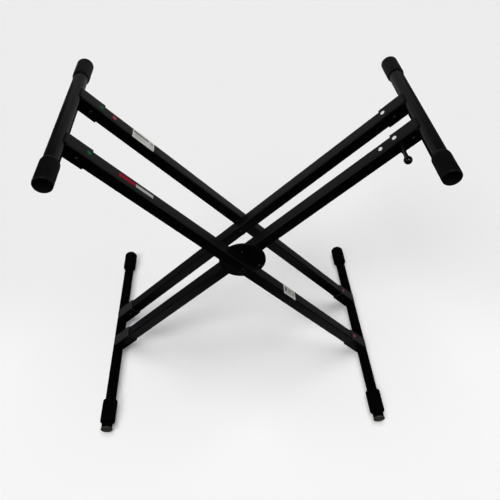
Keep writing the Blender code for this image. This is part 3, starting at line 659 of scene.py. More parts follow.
def rounded_rectangle(width, height, corner, steps=CORNER_STEPS):
    """Points (y, z) round a rectangle with rounded corners."""
    points = []
    for quarter, (side_y, side_z) in enumerate(((1, 1), (-1, 1), (-1, -1), (1, -1))):
        middle = (side_y * (width / 2 - corner), side_z * (height / 2 - corner))
        for step in range(steps + 1):
            angle = (quarter + step / steps) * math.pi / 2
            points.append((middle[0] + corner * math.cos(angle), middle[1] + corner * math.sin(angle)))
    return points


def bridge(bm, loops):
    """Faces between neighbouring closed loops of the same number of points."""
    for first, second in zip(loops, loops[1:]):
        for i in range(len(first)):
            bm.faces.new((first[i - 1], first[i], second[i], second[i - 1]))


def square_tube(start, end, width, height, wall, corner, chamfer=0.0004):
    bm = bmesh.new()

    def loop(x, inset):
        outline = rounded_rectangle(width - 2 * inset, height - 2 * inset, corner - inset)
        return [bm.verts.new((x, y, z)) for y, z in outline]

    loops = [loop(start, chamfer), loop(start + chamfer, 0.0), loop(end - chamfer, 0.0), loop(end, chamfer)]
    loops += [loop(end, wall), loop(start, wall)]
    bridge(bm, loops + [loops[0]])
    bmesh.ops.recalc_face_normals(bm, faces=bm.faces)
    return bm


def carved(bm, cutters):
    """The mesh after cutting away each cutter, a list of (bmesh, its place)."""
    work = add_object("work", mesh_of(bm, "work"))
    tools = []
    for shape, place in cutters:
        tool = add_object("tool", mesh_of(shape, "tool"))
        tool.matrix_world = Matrix.Translation(place)
        tools.append(tool)
        boolean = work.modifiers.new("cut", "BOOLEAN")
        boolean.object = tool
        boolean.solver = "EXACT"
    bpy.context.view_layer.update()
    result = bpy.data.meshes.new_from_object(work.evaluated_get(bpy.context.evaluated_depsgraph_get()))
    for item in (work, *tools):
        bpy.data.objects.remove(item, do_unlink=True)
    shape = bmesh.new()
    shape.from_mesh(result)
    bpy.data.meshes.remove(result)
    bmesh.ops.remove_doubles(shape, verts=shape.verts, dist=MERGE_DISTANCE)
    return shape


def slot_prism(near, far, half_width, front, back):
    """A round-ended slot along X, pulled along Y, as a cutter."""
    bm = bmesh.new()
    points = arc((far, 0.0), half_width, half_width, -math.pi / 2, math.pi, SLOT_STEPS)
    points += arc((near, 0.0), half_width, half_width, math.pi / 2, math.pi, SLOT_STEPS)
    rings = [[bm.verts.new((x, y, z)) for x, z in points] for y in (front, back)]
    for ring in rings:
        bm.faces.new(ring)
    bridge(bm, rings)
    return bm


def rod(start, end, radius, sides=BORE_SIDES):
    return lathe([(start, 0.0), (start, radius), (end, radius), (end, 0.0)], sides)


print("square tube helpers ready")

# %% Braces
BRACE_WALL, BRACE_END_CLEARANCE = 0.0012, 0.0040
PIVOT_HOLE = 0.0053
KNOB_REACH, RELEASE_TRAVEL = 0.4590, 0.0080
STEM_SLOT_HALF = 0.0048
CUT_PAST = 0.0004
KNOB_END = KNOB_REACH + RELEASE_TRAVEL
MIDDLE = (0.0, 0.0, 0.0)

for name, side in SIDES.items():
    arm_end = side * (ARM_REACH - ARM_RADIUS - BRACE_END_CLEARANCE)
    leg_end = -side * (LEG_REACH - LEG_RADIUS - BRACE_END_CLEARANCE)
    ends = sorted((arm_end, leg_end))
    for where in WHERE:
        tube = square_tube(*ends, BRACE_WIDTH, BRACE_HEIGHT, BRACE_WALL, BRACE_CORNER)
        cutters = [(rod(-BRACE_WIDTH, BRACE_WIDTH, PIVOT_HOLE), MIDDLE)]
        if (name, where) == ("inner", "front"):
            back = -BRACE_WIDTH / 2 + BRACE_WALL + CUT_PAST
            cutters.append((slot_prism(KNOB_REACH, KNOB_END, STEM_SLOT_HALF, -BRACE_WIDTH, back), MIDDLE))
        node = f"{name}_brace_{where}"
        shape = carved(tube, cutters)
        add_piece(f"{node}_tube", shape, "brace_coat", name, on_brace(name, where), [node])

# %% [markdown]
# ## Sockets, weld nuts and weld beads
#
# Each brace slides into a socket that is welded to the round tube. The weld is what makes the joint
# look real: a bead along each side of the socket's mouth, in the corner between socket and tube. Its
# path is the socket's rounded outline, moved along X until it meets the tube. A curve with a bevel
# would be smooth, so the bead is swept by hand, and its radius swells at each ripple.

# %% Sockets
WELD_NUT_RADIUS, WELD_NUT_HEIGHT, WELD_NUT_EDGE, NUT_DIP = 0.0060, 0.0045, 0.0008, 0.0010
SOCKET_BOLT_RADIUS, THREAD_ROOM, SOCKET_CHAMFER = 0.0030, 0.0002, 0.0003
SOCKET_BOLT_INSET, KNOB_SIDE_BOLT_INSET = 0.0440, 0.0280
NOTCH_REACH, NOTCH_RADIUS = 0.0085, 0.0026
SLOT_PAST_SOCKET, SLOT_DEPTH = 0.0040, 0.0030
HOLE_SIDES, NOTCH_SIDES = 24, 20
KNOB_SOCKET = ("inner", "arm", "front")
SOCKET_KINDS = {"arm": (ARM_SOCKET_LENGTH, ARM_RADIUS), "leg": (LEG_SOCKET_LENGTH, LEG_RADIUS)}
SOCKETS = []
for name in SIDES:
    for end, (length, radius) in SOCKET_KINDS.items():
        tube_x = tube_reach(name, end)
        inward = -math.copysign(1, tube_x)
        for where in WHERE:
            inset = KNOB_SIDE_BOLT_INSET if (name, end, where) == KNOB_SOCKET else SOCKET_BOLT_INSET
            SOCKETS.append((name, end, where, tube_x, inward, length, radius, tube_x + inward * inset))

nut_foot, nut_face = SOCKET_WIDTH / 2 - SEAT_GAP, SOCKET_WIDTH / 2 + WELD_NUT_HEIGHT
nut_outline = [(nut_foot, 0.0), (nut_foot, WELD_NUT_RADIUS), (nut_face - WELD_NUT_EDGE, WELD_NUT_RADIUS)]
nut_outline += [(nut_face, WELD_NUT_RADIUS - WELD_NUT_EDGE), (nut_face, SOCKET_BOLT_RADIUS + THREAD_ROOM)]
nut_outline += [(nut_face - NUT_DIP, SOCKET_BOLT_RADIUS), (nut_face - NUT_DIP, 0.0)]

for name, end, where, tube_x, inward, length, radius, bolt_x in SOCKETS:
    ends = sorted((tube_x + inward * SOCKET_SETBACK, tube_x + inward * length))
    tube = square_tube(*ends, SOCKET_WIDTH, SOCKET_HEIGHT, SOCKET_WALL, SOCKET_CORNER, SOCKET_CHAMFER)
    seat = rod(-SOCKET_WIDTH, SOCKET_WIDTH, radius + SEAT_GAP, ROUND_SIDES)
    bolt_hole = rod(-SOCKET_WIDTH, SOCKET_WIDTH, SOCKET_BOLT_RADIUS + SEAT_GAP, HOLE_SIDES)
    cutters = [(seat, (tube_x, 0.0, 0.0)), (bolt_hole, (bolt_x, 0.0, 0.0))]
    if (name, end, where) == KNOB_SOCKET:
        near = ARM_REACH - ARM_SOCKET_LENGTH - SLOT_PAST_SOCKET
        back = -SOCKET_WIDTH / 2 + SLOT_DEPTH
        cutters.append((slot_prism(near, KNOB_END, STEM_SLOT_HALF, -SOCKET_WIDTH, back), MIDDLE))
    if end == "arm":
        for side_y in (-1, 1):
            for side_z in (-1, 1):
                z = side_z * (SOCKET_HEIGHT / 2 - NOTCH_RADIUS * 0.5)
                spot = (tube_x + inward * NOTCH_REACH, side_y * SOCKET_WIDTH / 2, z)
                cutters.append((rod(-NOTCH_RADIUS, NOTCH_RADIUS, NOTCH_RADIUS, NOTCH_SIDES), spot))
    node = f"{name}_{end}_socket_{where}"
    coat = "brace_coat" if end == "arm" else "leg_socket_coat"
    place = on_brace(name, where)
    add_piece(f"{node}_tube", carved(tube, cutters), coat, name, place, [node])
    nut_place = place @ Matrix.Translation((bolt_x, 0.0, 0.0))
    add_piece(f"{node}_weld_nut", lathe(nut_outline, 6), coat, name, nut_place)

# %% Weld beads
BEAD_RADIUS, BEAD_PITCH, BEAD_SIDES, BEAD_STEP = 0.0019, 0.0024, 10, 0.0005
BEAD_INSET, BEAD_LIFT, BEAD_SINK, BEAD_OVERRUN = 0.0005, 0.0006, 0.0002, 0.0006
LEAST_SIZE, RIPPLE_SIZE, UNEVEN_SIZE, UNEVEN_SCALE = 0.82, 0.22, 0.10, 260.0
TAPER_STEPS = 4


def wire_ring(bm, centre, first, second, radius, sides):
    """A ring of points round centre, in the plane of the directions first and second."""
    ring = []
    for side in range(sides):
        angle = 2 * math.pi * side / sides
        across = first * math.cos(angle) + second * math.sin(angle)
        ring.append(bm.verts.new(centre + across * radius))
    return ring


def weld_path(radius):
    """The bead's centre line round a socket mouth: points (distance from the tube's axis, y, z)."""
    width, height = SOCKET_WIDTH - 2 * BEAD_INSET, SOCKET_HEIGHT - 2 * BEAD_INSET
    outline = rounded_rectangle(width, height, SOCKET_CORNER - BEAD_INSET, 6)
    reach = radius + BEAD_LIFT
    path = []
    for (y0, z0), (y1, z1) in zip(outline, outline[1:] + outline[:1]):
        parts = max(1, round(math.hypot(y1 - y0, z1 - z0) / BEAD_STEP))
        for part in range(parts):
            share = part / parts
            y, z = y0 + (y1 - y0) * share, z0 + (z1 - z0) * share
            along = math.sqrt(max(reach**2 - z**2, 0.0))
            path.append(Vector((max(along, SOCKET_SETBACK - BEAD_SINK), y, z)))
    return path


def weld_runs(path):
    """Four runs of bead, one per side: the welder stops short of the rounded corners."""
    flat_y = SOCKET_WIDTH / 2 - SOCKET_CORNER + BEAD_OVERRUN
    flat_z = SOCKET_HEIGHT / 2 - SOCKET_CORNER + BEAD_OVERRUN
    open_side = [abs(point.y) < flat_y or abs(point.z) < flat_z for point in path]
    start = open_side.index(False)
    runs = [[]]
    for step in range(len(path) + 1):
        i = (start + step) % len(path)
        if open_side[i]:
            runs[-1].append(path[i])
        elif runs[-1]:
            runs.append([])
    return [run for run in runs if len(run) > TAPER_STEPS]


def weld_bead(radius, away):
    """Rippled beads along the path. away is +1 or -1: the side of the tube that the socket is on."""
    bm = bmesh.new()
    for run in weld_runs(weld_path(radius)):
        travelled = 0.0
        rings = []
        for i, point in enumerate(run):
            before, after = run[max(i - 1, 0)], run[min(i + 1, len(run) - 1)]
            along = (after - before).normalized()
            travelled += (point - before).length
            from_end = min(i, len(run) - 1 - i) / TAPER_STEPS
            taper = math.sqrt(min(from_end, 1.0))
            ripple = abs(math.sin(math.pi * travelled / BEAD_PITCH))
            uneven = noise.noise(point * UNEVEN_SCALE)
            size = BEAD_RADIUS * taper * (LEAST_SIZE + RIPPLE_SIZE * ripple + UNEVEN_SIZE * uneven)
            if size < 1e-5:
                rings.append([bm.verts.new(point)])
                continue
            first = along.orthogonal().normalized()
            if abs(along.x) < 0.9:
                first = along.cross(Vector((1.0, 0.0, 0.0))).normalized()
            rings.append(wire_ring(bm, point, first, along.cross(first), size, BEAD_SIDES))
        join_rings(bm, rings, BEAD_SIDES)
    bmesh.ops.scale(bm, vec=(away, 1.0, 1.0), verts=bm.verts)
    return bm


for name, end, where, tube_x, inward, length, radius, bolt_x in SOCKETS:
    coat = "brace_coat" if end == "arm" else "leg_coat"
    place = on_brace(name, where, tube_x)
    add_piece(f"{name}_{end}_weld_{where}", weld_bead(radius, inward), coat, name, place)
print(len(SOCKETS), "weld beads,", len(weld_path(ARM_RADIUS)), "steps each")

# %% [markdown]
# ## Bolts, nuts and washers
#
# The sockets are pinned with button-head bolts, and larger ones make the pivots. A button head is a
# shallow dome with a hexagon key pressed into it. The head is turned, then the key is cut out.

# %% Bolts
DOME_STEPS, HEAD_SIDES = 8, 36
RIM_HEIGHT, RIM_LIFT, RIM_EDGE, SHANK_EDGE = 0.0006, 0.0001, 0.0005, 0.0006
PAST_NUT, KEY_PAST_HEAD = 0.0010, 0.0010


def button_bolt(seat, head_radius, head_height, shank_radius, tail, key_radius, key_depth):
    """A button-head bolt: head in front of seat, shank to the rear, hexagon key in the head."""
    dome = (head_radius**2 + head_height**2) / (2 * head_height)
    top = seat - head_height
    centre = seat - head_height + dome
    half_angle = math.asin(min(1.0, head_radius / dome))
    outline = [(top, 0.0)] + arc((centre, 0.0), -dome, dome, 0.0, half_angle, DOME_STEPS)[1:-1]
    outline += [(seat - RIM_HEIGHT, head_radius), (seat - RIM_LIFT, head_radius)]
    outline.append((seat, head_radius - RIM_EDGE))
    outline += [(seat, shank_radius), (tail - SHANK_EDGE, shank_radius)]
    outline += [(tail, shank_radius - SHANK_EDGE), (tail, 0.0)]
    key = rod(top - KEY_PAST_HEAD, top + key_depth, key_radius, 6)
    return carved(lathe(outline, HEAD_SIDES), [(key, MIDDLE)])


SOCKET_HEAD_RADIUS, SOCKET_HEAD_HEIGHT = 0.0052, 0.0030
SOCKET_KEY_RADIUS, SOCKET_KEY_DEPTH = 0.0021, 0.0016
bolt_seat, bolt_tail = -SOCKET_WIDTH / 2 - SEAT_GAP, SOCKET_WIDTH / 2 + WELD_NUT_HEIGHT + PAST_NUT
bolt_head = (SOCKET_HEAD_RADIUS, SOCKET_HEAD_HEIGHT, SOCKET_BOLT_RADIUS)
shape = button_bolt(bolt_seat, *bolt_head, bolt_tail, SOCKET_KEY_RADIUS, SOCKET_KEY_DEPTH)
for name, end, where, tube_x, inward, length, radius, bolt_x in SOCKETS:
    node = f"{name}_{end}_bolt_{where}"
    place = on_brace(name, where, bolt_x)
    bolt = add_piece(f"{node}_button", shape, "black_fastener", name, place, [node])
    shape = bolt.data.copy()
bpy.data.meshes.remove(shape)

# %% Pivot bolts, nuts and washers
PIVOT_RADIUS, PIVOT_HEAD_RADIUS, PIVOT_HEAD_HEIGHT = 0.0050, 0.0085, 0.0045
PIVOT_KEY_RADIUS, PIVOT_KEY_DEPTH = 0.0035, 0.0028
PIVOT_NUT_RADIUS, PIVOT_NUT_HEIGHT, NUT_EDGE = 0.0095, 0.0090, 0.0009
COLLAR_START, COLLAR_WIDTH, COLLAR_OVERLAP, COLLAR_SIDES = 0.66, 0.96, 0.0004, 48
WASHER_RADIUS, WASHER_THICKNESS, WASHER_EDGE, SPACER_EDGE = 0.0125, 0.0016, 0.0003, 0.0005
washer_room = WASHER_THICKNESS + 2 * SEAT_GAP
PIVOTS = {
    "front": (-SPREAD["outer"] - BRACE_WIDTH / 2 - SEAT_GAP, -SPREAD["inner"] + BRACE_WIDTH / 2),
    "rear": (SPREAD["inner"] - BRACE_WIDTH / 2, SPREAD["outer"] + BRACE_WIDTH / 2),
}


def ring_outline(start, end, outer, inner, edge):
    return rounded([(start, inner), (start, outer), (end, outer), (end, inner)], edge, 2)


def lock_nut(start):
    """A hexagon nut with a chamfered top and a round collar that holds its insert."""
    collar = start + PIVOT_NUT_HEIGHT * COLLAR_START
    flats = PIVOT_NUT_RADIUS * math.cos(math.pi / 6)
    outline = [(start, PIVOT_HOLE), (start, flats), (start + NUT_EDGE, PIVOT_NUT_RADIUS)]
    outline += [(collar - NUT_EDGE, PIVOT_NUT_RADIUS), (collar, flats), (collar, PIVOT_HOLE)]
    hexagon = lathe(outline, 6)
    end = start + PIVOT_NUT_HEIGHT
    collar_outline = (collar - COLLAR_OVERLAP, end, flats * COLLAR_WIDTH, PIVOT_HOLE, NUT_EDGE)
    round_part = lathe(ring_outline(*collar_outline), COLLAR_SIDES)
    mesh = bpy.data.meshes.new("collar")
    round_part.to_mesh(mesh)
    round_part.free()
    hexagon.from_mesh(mesh)
    bpy.data.meshes.remove(mesh)
    return hexagon


for where, (seat, inside) in PIVOTS.items():
    if where == "front":
        washer_start = inside + SEAT_GAP
        nut_seat = inside + washer_room
    else:
        seat = seat - washer_room
        washer_start = seat + SEAT_GAP
        nut_seat = inside + SEAT_GAP
    tail = nut_seat + PIVOT_NUT_HEIGHT + PAST_NUT
    head = (PIVOT_HEAD_RADIUS, PIVOT_HEAD_HEIGHT, PIVOT_RADIUS)
    bolt = button_bolt(seat, *head, tail, PIVOT_KEY_RADIUS, PIVOT_KEY_DEPTH)
    washer_end = washer_start + WASHER_THICKNESS
    washer = ring_outline(washer_start, washer_end, WASHER_RADIUS, PIVOT_HOLE, WASHER_EDGE)
    hardware = (
        ("bolt", "bolt_button", bolt, "black_fastener"),
        ("nut", "lock_nut", lock_nut(nut_seat), "black_fastener"),
        ("washer", "turned_washer", lathe(washer, ROUND_SIDES), "zinc_plate"),
    )
    for part, made_as, shape, slot in hardware:
        name, node = f"{where}_pivot_{made_as}", f"{where}_pivot_{part}"
        add_piece(name, shape, "black_fastener", "outer", LIE["outer"], [node])

spacer_start = SPREAD["inner"] + BRACE_WIDTH / 2 + SEAT_GAP
spacer_end = SPREAD["outer"] - BRACE_WIDTH / 2 - SEAT_GAP
spacer = lathe(ring_outline(spacer_start, spacer_end, WASHER_RADIUS, PIVOT_HOLE, SPACER_EDGE), ROUND_SIDES)
name, node = "rear_pivot_turned_spacer", "rear_pivot_spacer"
add_piece(name, spacer, "moulded_nylon", "outer", LIE["outer"], [node])

# %% [markdown]
# ## The lock cover
#
# The cover is a pressed steel dish between the two front braces. Pressing leaves a soft outer corner, a
# shallow step inside the rim and round rivet heads where the notched plate behind it is held. The step
# is small, but it draws the fine ring of light that the eye reads as sheet metal.

# %% Lock cover
COVER_RADIUS, COVER_WALL, COVER_STEP, COVER_ROUNDING = 0.0575, 0.0012, 0.0005, 0.0010
COVER_FRONT = -SPREAD["outer"] + BRACE_WIDTH / 2 + SEAT_GAP
COVER_BACK = -SPREAD["inner"] - BRACE_WIDTH / 2 - SEAT_GAP
STEP_OUTSIDE, STEP_INSIDE = COVER_RADIUS - 0.0054, COVER_RADIUS - 0.0062
STUD_CIRCLE = 0.0460
STUD_ANGLES = (22.0, 91.5, 158.0, 202.0, 268.5, 338.0)
STUD_HEAD_RADIUS, STUD_HEAD_HEIGHT, STUD_LIFT = 0.0029, 0.0014, 0.0001
STOP_RIVET_RADIUS, STOP_RIVET_HEIGHT = 0.0024, 0.0012
STOP_RIVET_PLACE = (-0.0235, 0.0, 0.0205)
# Painted highlights: rivets 1 and 2, the same part as the other four, get bare zinc and black oxide only so
# that their heads give a bright glint and a faint glint; the rest are painted like the cover.
GLINT_RIVET_FINISHES = {1: "zinc_plate", 2: "black_fastener"}
RIVET_STEPS, RIVET_SIDES, COVER_SIDES = 6, 32, 128
RIVET_ROOT, RIVET_ROOT_SHARE = 0.0006, 0.7

inner_face, inner_radius = COVER_FRONT + COVER_WALL, COVER_RADIUS - COVER_WALL
cover_outline = [(inner_face, PIVOT_HOLE), (COVER_FRONT + COVER_STEP, PIVOT_HOLE)]
cover_outline += [(COVER_FRONT + COVER_STEP, STEP_INSIDE), (COVER_FRONT, STEP_OUTSIDE)]
cover_outline += [(COVER_FRONT, COVER_RADIUS), (COVER_BACK, COVER_RADIUS)]
cover_outline += [(COVER_BACK, inner_radius), (inner_face, inner_radius)]
cover = lathe(rounded(cover_outline, COVER_ROUNDING, 4), COVER_SIDES)
add_piece("lock_cover_pressed", cover, "cover_coat", "outer", LIE["outer"], ["lock_cover"])


def rivet_head(radius, height, seat):
    root = [(seat + RIVET_ROOT, 0.0), (seat + RIVET_ROOT, radius * RIVET_ROOT_SHARE), (seat, radius)]
    dome = arc((0.0, seat), radius, -height, 0.0, math.pi / 2, RIVET_STEPS)[1:-1]
    return lathe(root + [(along, r) for r, along in dome] + [(seat - height, 0.0)], RIVET_SIDES)


for number, angle in enumerate(map(math.radians, STUD_ANGLES), start=1):
    spot = (STUD_CIRCLE * math.cos(angle), 0.0, STUD_CIRCLE * math.sin(angle))
    place = LIE["outer"] @ Matrix.Translation(spot)
    head = rivet_head(STUD_HEAD_RADIUS, STUD_HEAD_HEIGHT, COVER_FRONT - STUD_LIFT)
    finish = GLINT_RIVET_FINISHES.get(number, "cover_coat")
    add_piece(f"lock_rivet_{number}", head, finish, "outer", place)
place = LIE["outer"] @ Matrix.Translation(STOP_RIVET_PLACE)
head = rivet_head(STOP_RIVET_RADIUS, STOP_RIVET_HEIGHT, COVER_FRONT)
add_piece("lock_stop_rivet", head, "zinc_plate", "outer", place)
print(len(STUD_ANGLES) + 1, "rivet heads on the cover")

# %% [markdown]
# ## The release knob
#
# A ball on a steel stem pulls the lock pin. The ball has a small flat at its front, from the machine
# that turned it, and a collar where the stem enters.

# %% Release knob
KNOB_STAND_OFF, KNOB_RADIUS, STEM_RADIUS = 0.0470, 0.0087, 0.0042
COLLAR_RADIUS, COLLAR_REACH, COLLAR_EDGE = 0.0053, 0.0098, 0.0004
FLAT_RADIUS, SLIDER_GRIP = 0.0022, 0.0080
BALL_STEPS, KNOB_SIDES = 24, 64
stem_root = -BRACE_WIDTH / 2 + BRACE_WALL + CUT_PAST + SLIDER_GRIP - SEAT_GAP
ball_centre = -BRACE_WIDTH / 2 - KNOB_STAND_OFF
flat_angle = math.asin(FLAT_RADIUS / KNOB_RADIUS)
neck_angle = math.asin(COLLAR_RADIUS / KNOB_RADIUS)
knob_outline = [(ball_centre - KNOB_RADIUS, 0.0)]
knob_outline.append((ball_centre - KNOB_RADIUS * math.cos(flat_angle), FLAT_RADIUS))
ball_turn = math.pi - neck_angle - flat_angle
knob_outline += arc((ball_centre, 0.0), -KNOB_RADIUS, KNOB_RADIUS, flat_angle, ball_turn, BALL_STEPS)[1:]
collar_end = ball_centre + COLLAR_REACH
knob_outline += [(collar_end - COLLAR_EDGE, COLLAR_RADIUS), (collar_end, COLLAR_RADIUS - COLLAR_EDGE)]
knob_outline += [(collar_end, STEM_RADIUS), (stem_root, STEM_RADIUS), (stem_root, 0.0)]
knob = lathe(knob_outline, KNOB_SIDES)
place = on_brace("inner", "front", KNOB_REACH)
add_piece("release_knob_turned", knob, "polished_knob", "release", place, ["release_knob"])

# %% [markdown]
# ## The return spring
#
# Inside the brace, a coil spring round the rod pushes the pawl back. It is the one part of the stand
# that changes its length as the knob is pulled; here it is built once, as long as the CAD spring it
# replaces. The turn at each end lies close to the next, as on a real compression spring.

# %% Return spring
COIL_RADIUS, WIRE_RADIUS, WIRE_SIDES = 0.0062, 0.0006, 10
OPEN_TURNS, END_TURNS, TURN_STEPS = 7, 1, 28
END_RISE = 2.2 * WIRE_RADIUS
to_brace = LIE["inner"].inverted()
reaches = [(to_brace @ Vector(vertex.co)).x for vertex in frame["nodes"]["release_spring"].data.vertices]
near, far = min(reaches) + WIRE_RADIUS, max(reaches) - WIRE_RADIUS
open_length = far - near - 2 * END_TURNS * END_RISE
bm = bmesh.new()
rings = []
for step in range((OPEN_TURNS + 2 * END_TURNS) * TURN_STEPS + 1):
    turn = step / TURN_STEPS
    open_turn = min(max(turn - END_TURNS, 0.0), OPEN_TURNS)
    reach = near + (turn - open_turn) * END_RISE + open_turn / OPEN_TURNS * open_length
    outward = Vector((0.0, math.cos(2 * math.pi * turn), math.sin(2 * math.pi * turn)))
    centre = Vector((reach, 0.0, 0.0)) + outward * COIL_RADIUS
    if step == 0:
        rings.append([bm.verts.new(centre)])
    rings.append(wire_ring(bm, centre, outward, Vector((1.0, 0.0, 0.0)), WIRE_RADIUS, WIRE_SIDES))
rings.append([bm.verts.new(centre)])
join_rings(bm, rings, WIRE_SIDES)
place = on_brace("inner", "front")
replaced = ["release_spring"]
spring = add_piece("release_spring_coil", bm, "spring_steel", "inner", place, replaced)
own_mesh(spring)

# %% [markdown]
# ## Stickers and labels
#
# Small round inspection stickers sit on the tops of the braces and sockets, two paper labels wrap over
# the width of a brace, and a two-colour strip decorates the front one. They carry no lettering: a label
# has plain grey bars where print would be. Paper is thin but not flat, so each label follows the
# rounded corners of the tube, a tenth of a millimetre above the paint.

# %% Sticker and label helpers
STICKER_RADIUS, STICKER_SIDES = 0.0049, 40
STICKER_OUTLINE = [(0.0, 0.0), (0.0, STICKER_RADIUS), (0.00012, STICKER_RADIUS - 0.0002)]
STICKER_OUTLINE += [(0.00016, STICKER_RADIUS - 0.0007), (0.00018, 0.0)]
LABEL_LIFT, SHEET_STEPS = 0.00012, 24
PAPER_THICKNESS, STRIP_THICKNESS, INK_THICKNESS = 0.00008, 0.00005, 0.00004


def sticker():
    """A thin disc with a soft edge, lying on z = 0."""
    bm = lathe(STICKER_OUTLINE, STICKER_SIDES)
    bmesh.ops.rotate(bm, verts=bm.verts, cent=(0, 0, 0), matrix=Matrix.Rotation(math.pi / 2, 3, "X"))
    return bm


def wrapped_sheet(start, end, left, right, lift, thickness):
    """A sheet over the top of a brace from left to right, that follows the rounded corners."""
    corner = BRACE_CORNER + lift
    flat_half = BRACE_WIDTH / 2 - BRACE_CORNER
    top = BRACE_HEIGHT / 2 - BRACE_CORNER

    def point(distance, extra):
        over = abs(distance) - flat_half
        radius = corner + extra
        if over <= 0:
            return (distance, top + radius)
        angle = over / BRACE_CORNER
        across = flat_half + radius * math.sin(angle)
        return (math.copysign(across, distance), top + radius * math.cos(angle))

    across = [left + (right - left) * step / SHEET_STEPS for step in range(SHEET_STEPS + 1)]
    section = [point(d, thickness) for d in across] + [point(d, 0.0) for d in reversed(across)]
    bm = bmesh.new()
    loops = [[bm.verts.new((x, y, z)) for y, z in section] for x in (start, end)]
    bridge(bm, loops)
    for loop in loops:
        for i in range(SHEET_STEPS):
            j = len(section) - 1 - i
            bm.faces.new((loop[i], loop[i + 1], loop[j - 1], loop[j]))
    return bm


print("sheet helpers ready")

# %% Sticker and label finishes
PAPERS = {
    "green": ("green_sticker", (0.014, 0.150, 0.042), (0.020, 0.200, 0.058)),
    "pink": ("pink_sticker", (0.62, 0.07, 0.12), (0.75, 0.11, 0.17)),
    "white": ("white_sticker", (0.92, 0.92, 0.91), (0.98, 0.98, 0.97)),
    "pale_green": ("faded_green_sticker", (0.060, 0.095, 0.075), (0.075, 0.115, 0.090)),
    "violet": ("violet_sticker", (0.020, 0.014, 0.060), (0.030, 0.020, 0.085)),
    "label": ("label_paper", (0.90, 0.91, 0.85), (0.96, 0.97, 0.91)),
    "print_dark": ("dark_print", (0.20, 0.20, 0.19), (0.26, 0.26, 0.25)),
    "print_light": ("light_print", (0.52, 0.52, 0.48), (0.60, 0.60, 0.56)),
    "red": ("red_print", (0.45, 0.004, 0.020), (0.55, 0.008, 0.030)),
    "white_print": ("white_print", (0.62, 0.62, 0.60), (0.72, 0.72, 0.70)),
}
for key, colours in PAPERS.items():
    finishes[key] = make_finish(*colours, (0.55, 0.7), 1400.0, 0.00001, specular=0.3)
print(len(PAPERS), "papers and inks")

# %% Stickers
SOCKET_STICKER_REACH, TUBE_STICKER_REACH = 0.4570, 0.4215
STICKER_LIFT = 0.00002
STICKERS = [
    ("outer", "arm", "rear", "socket", "green"),
    ("outer", "arm", "front", "socket", "green"),
    ("outer", "arm", "rear", "tube", "pink"),
    ("inner", "arm", "rear", "socket", "white"),
    ("inner", "arm", "front", "socket", "white"),
    ("inner", "arm", "front", "tube", "white"),
    ("outer", "leg", "rear", "socket", "pink"),
    ("outer", "leg", "rear", "tube", "pale_green"),
    ("outer", "leg", "front", "socket", "pink"),
    ("inner", "leg", "front", "tube", "violet"),
]
for name, end, where, on, colour in STICKERS:
    reach, height = TUBE_STICKER_REACH, BRACE_HEIGHT
    if on == "socket":
        reach, height = SOCKET_STICKER_REACH, SOCKET_HEIGHT
    side = SIDES[name] if end == "arm" else -SIDES[name]
    place = on_brace(name, where, side * reach, height / 2 + STICKER_LIFT)
    add_piece(f"{name}_{end}_{where}_{on}_sticker", sticker(), colour, name, place)
print(len(STICKERS), "stickers")

# %% Labels and strip
LABELS = {"rear": (-0.3705, -0.3080), "front": (0.1385, 0.1850)}
LABEL_HALF_WIDTH = 0.0150
BARS = [
    ("rear", "print_dark", 0.05, 0.72, 0.0035, 0.0095),
    ("rear", "print_light", 0.10, 0.55, -0.0015, 0.0005),
    ("rear", "print_light", 0.10, 0.62, -0.0060, -0.0040),
    ("rear", "print_light", 0.10, 0.45, -0.0100, -0.0085),
    ("rear", "print_light", 0.80, 0.95, -0.0015, 0.0085),
    ("rear", "print_dark", 0.78, 0.95, -0.0095, -0.0080),
    ("front", "print_dark", 0.10, 0.28, -0.0050, 0.0075),
    ("front", "print_light", 0.34, 0.92, 0.0040, 0.0085),
    ("front", "print_dark", 0.38, 0.62, -0.0020, 0.0015),
    ("front", "print_light", 0.68, 0.90, -0.0060, 0.0015),
    ("front", "print_light", 0.10, 0.60, -0.0100, -0.0080),
]
STRIP_LOW, STRIP_HIGH = -0.0028, 0.0060
STRIP = {"red": (-0.3835, -0.3425), "white_print": (-0.3405, -0.2945)}


def add_sheet(name, ink, where, *shape):
    add_piece(name, wrapped_sheet(*shape), ink, "outer", on_brace("outer", where))


for where, (start, end) in LABELS.items():
    half = LABEL_HALF_WIDTH
    add_sheet(f"{where}_brace_label", "label", where, start, end, -half, half, LABEL_LIFT, PAPER_THICKNESS)
    bars = [bar for bar in BARS if bar[0] == where]
    for number, (_, ink, left, right, low, high) in enumerate(bars, start=1):
        x0, x1 = start + (end - start) * left, start + (end - start) * right
        lift = LABEL_LIFT + PAPER_THICKNESS
        add_sheet(f"{where}_label_bar_{number}", ink, where, x0, x1, low, high, lift, INK_THICKNESS)
for ink, (start, end) in STRIP.items():
    add_sheet(f"strip_{ink}", ink, "front", start, end, STRIP_LOW, STRIP_HIGH, LABEL_LIFT, STRIP_THICKNESS)
print(len(LABELS), "labels and one strip")

# %% [markdown]
# ## What stays from the CAD model
#
# The parts inside the braces and behind the cover are already right in shape. They keep their own
# meshes and only get a proper finish.

# %% Finishes on the CAD nodes that stay
for node, cad in frame["nodes"].items():
    if not cad.hide_render:
        for slot in cad.material_slots:
            slot.material = finishes["moulded_nylon" if node == "release_slider" else "zinc_plate"]
print("kept:", sorted(node for node, cad in frame["nodes"].items() if not cad.hide_render))

# %% [markdown]
# ## Floor and light
#
# The photograph has a pale floor that grows slightly brighter towards the camera, a broad light
# overhead, and almost nothing from the front: top faces are dark grey and faces towards us are black.
# A uniform white world would grey out every face, so the world here is bright only in a band near the
# horizon, which the top faces mirror, and dark below it.

# %% Floor
FLOOR_SIZE, FLOOR_DROP, FLOOR_GLOW = 30.0, 0.0002, 0.205
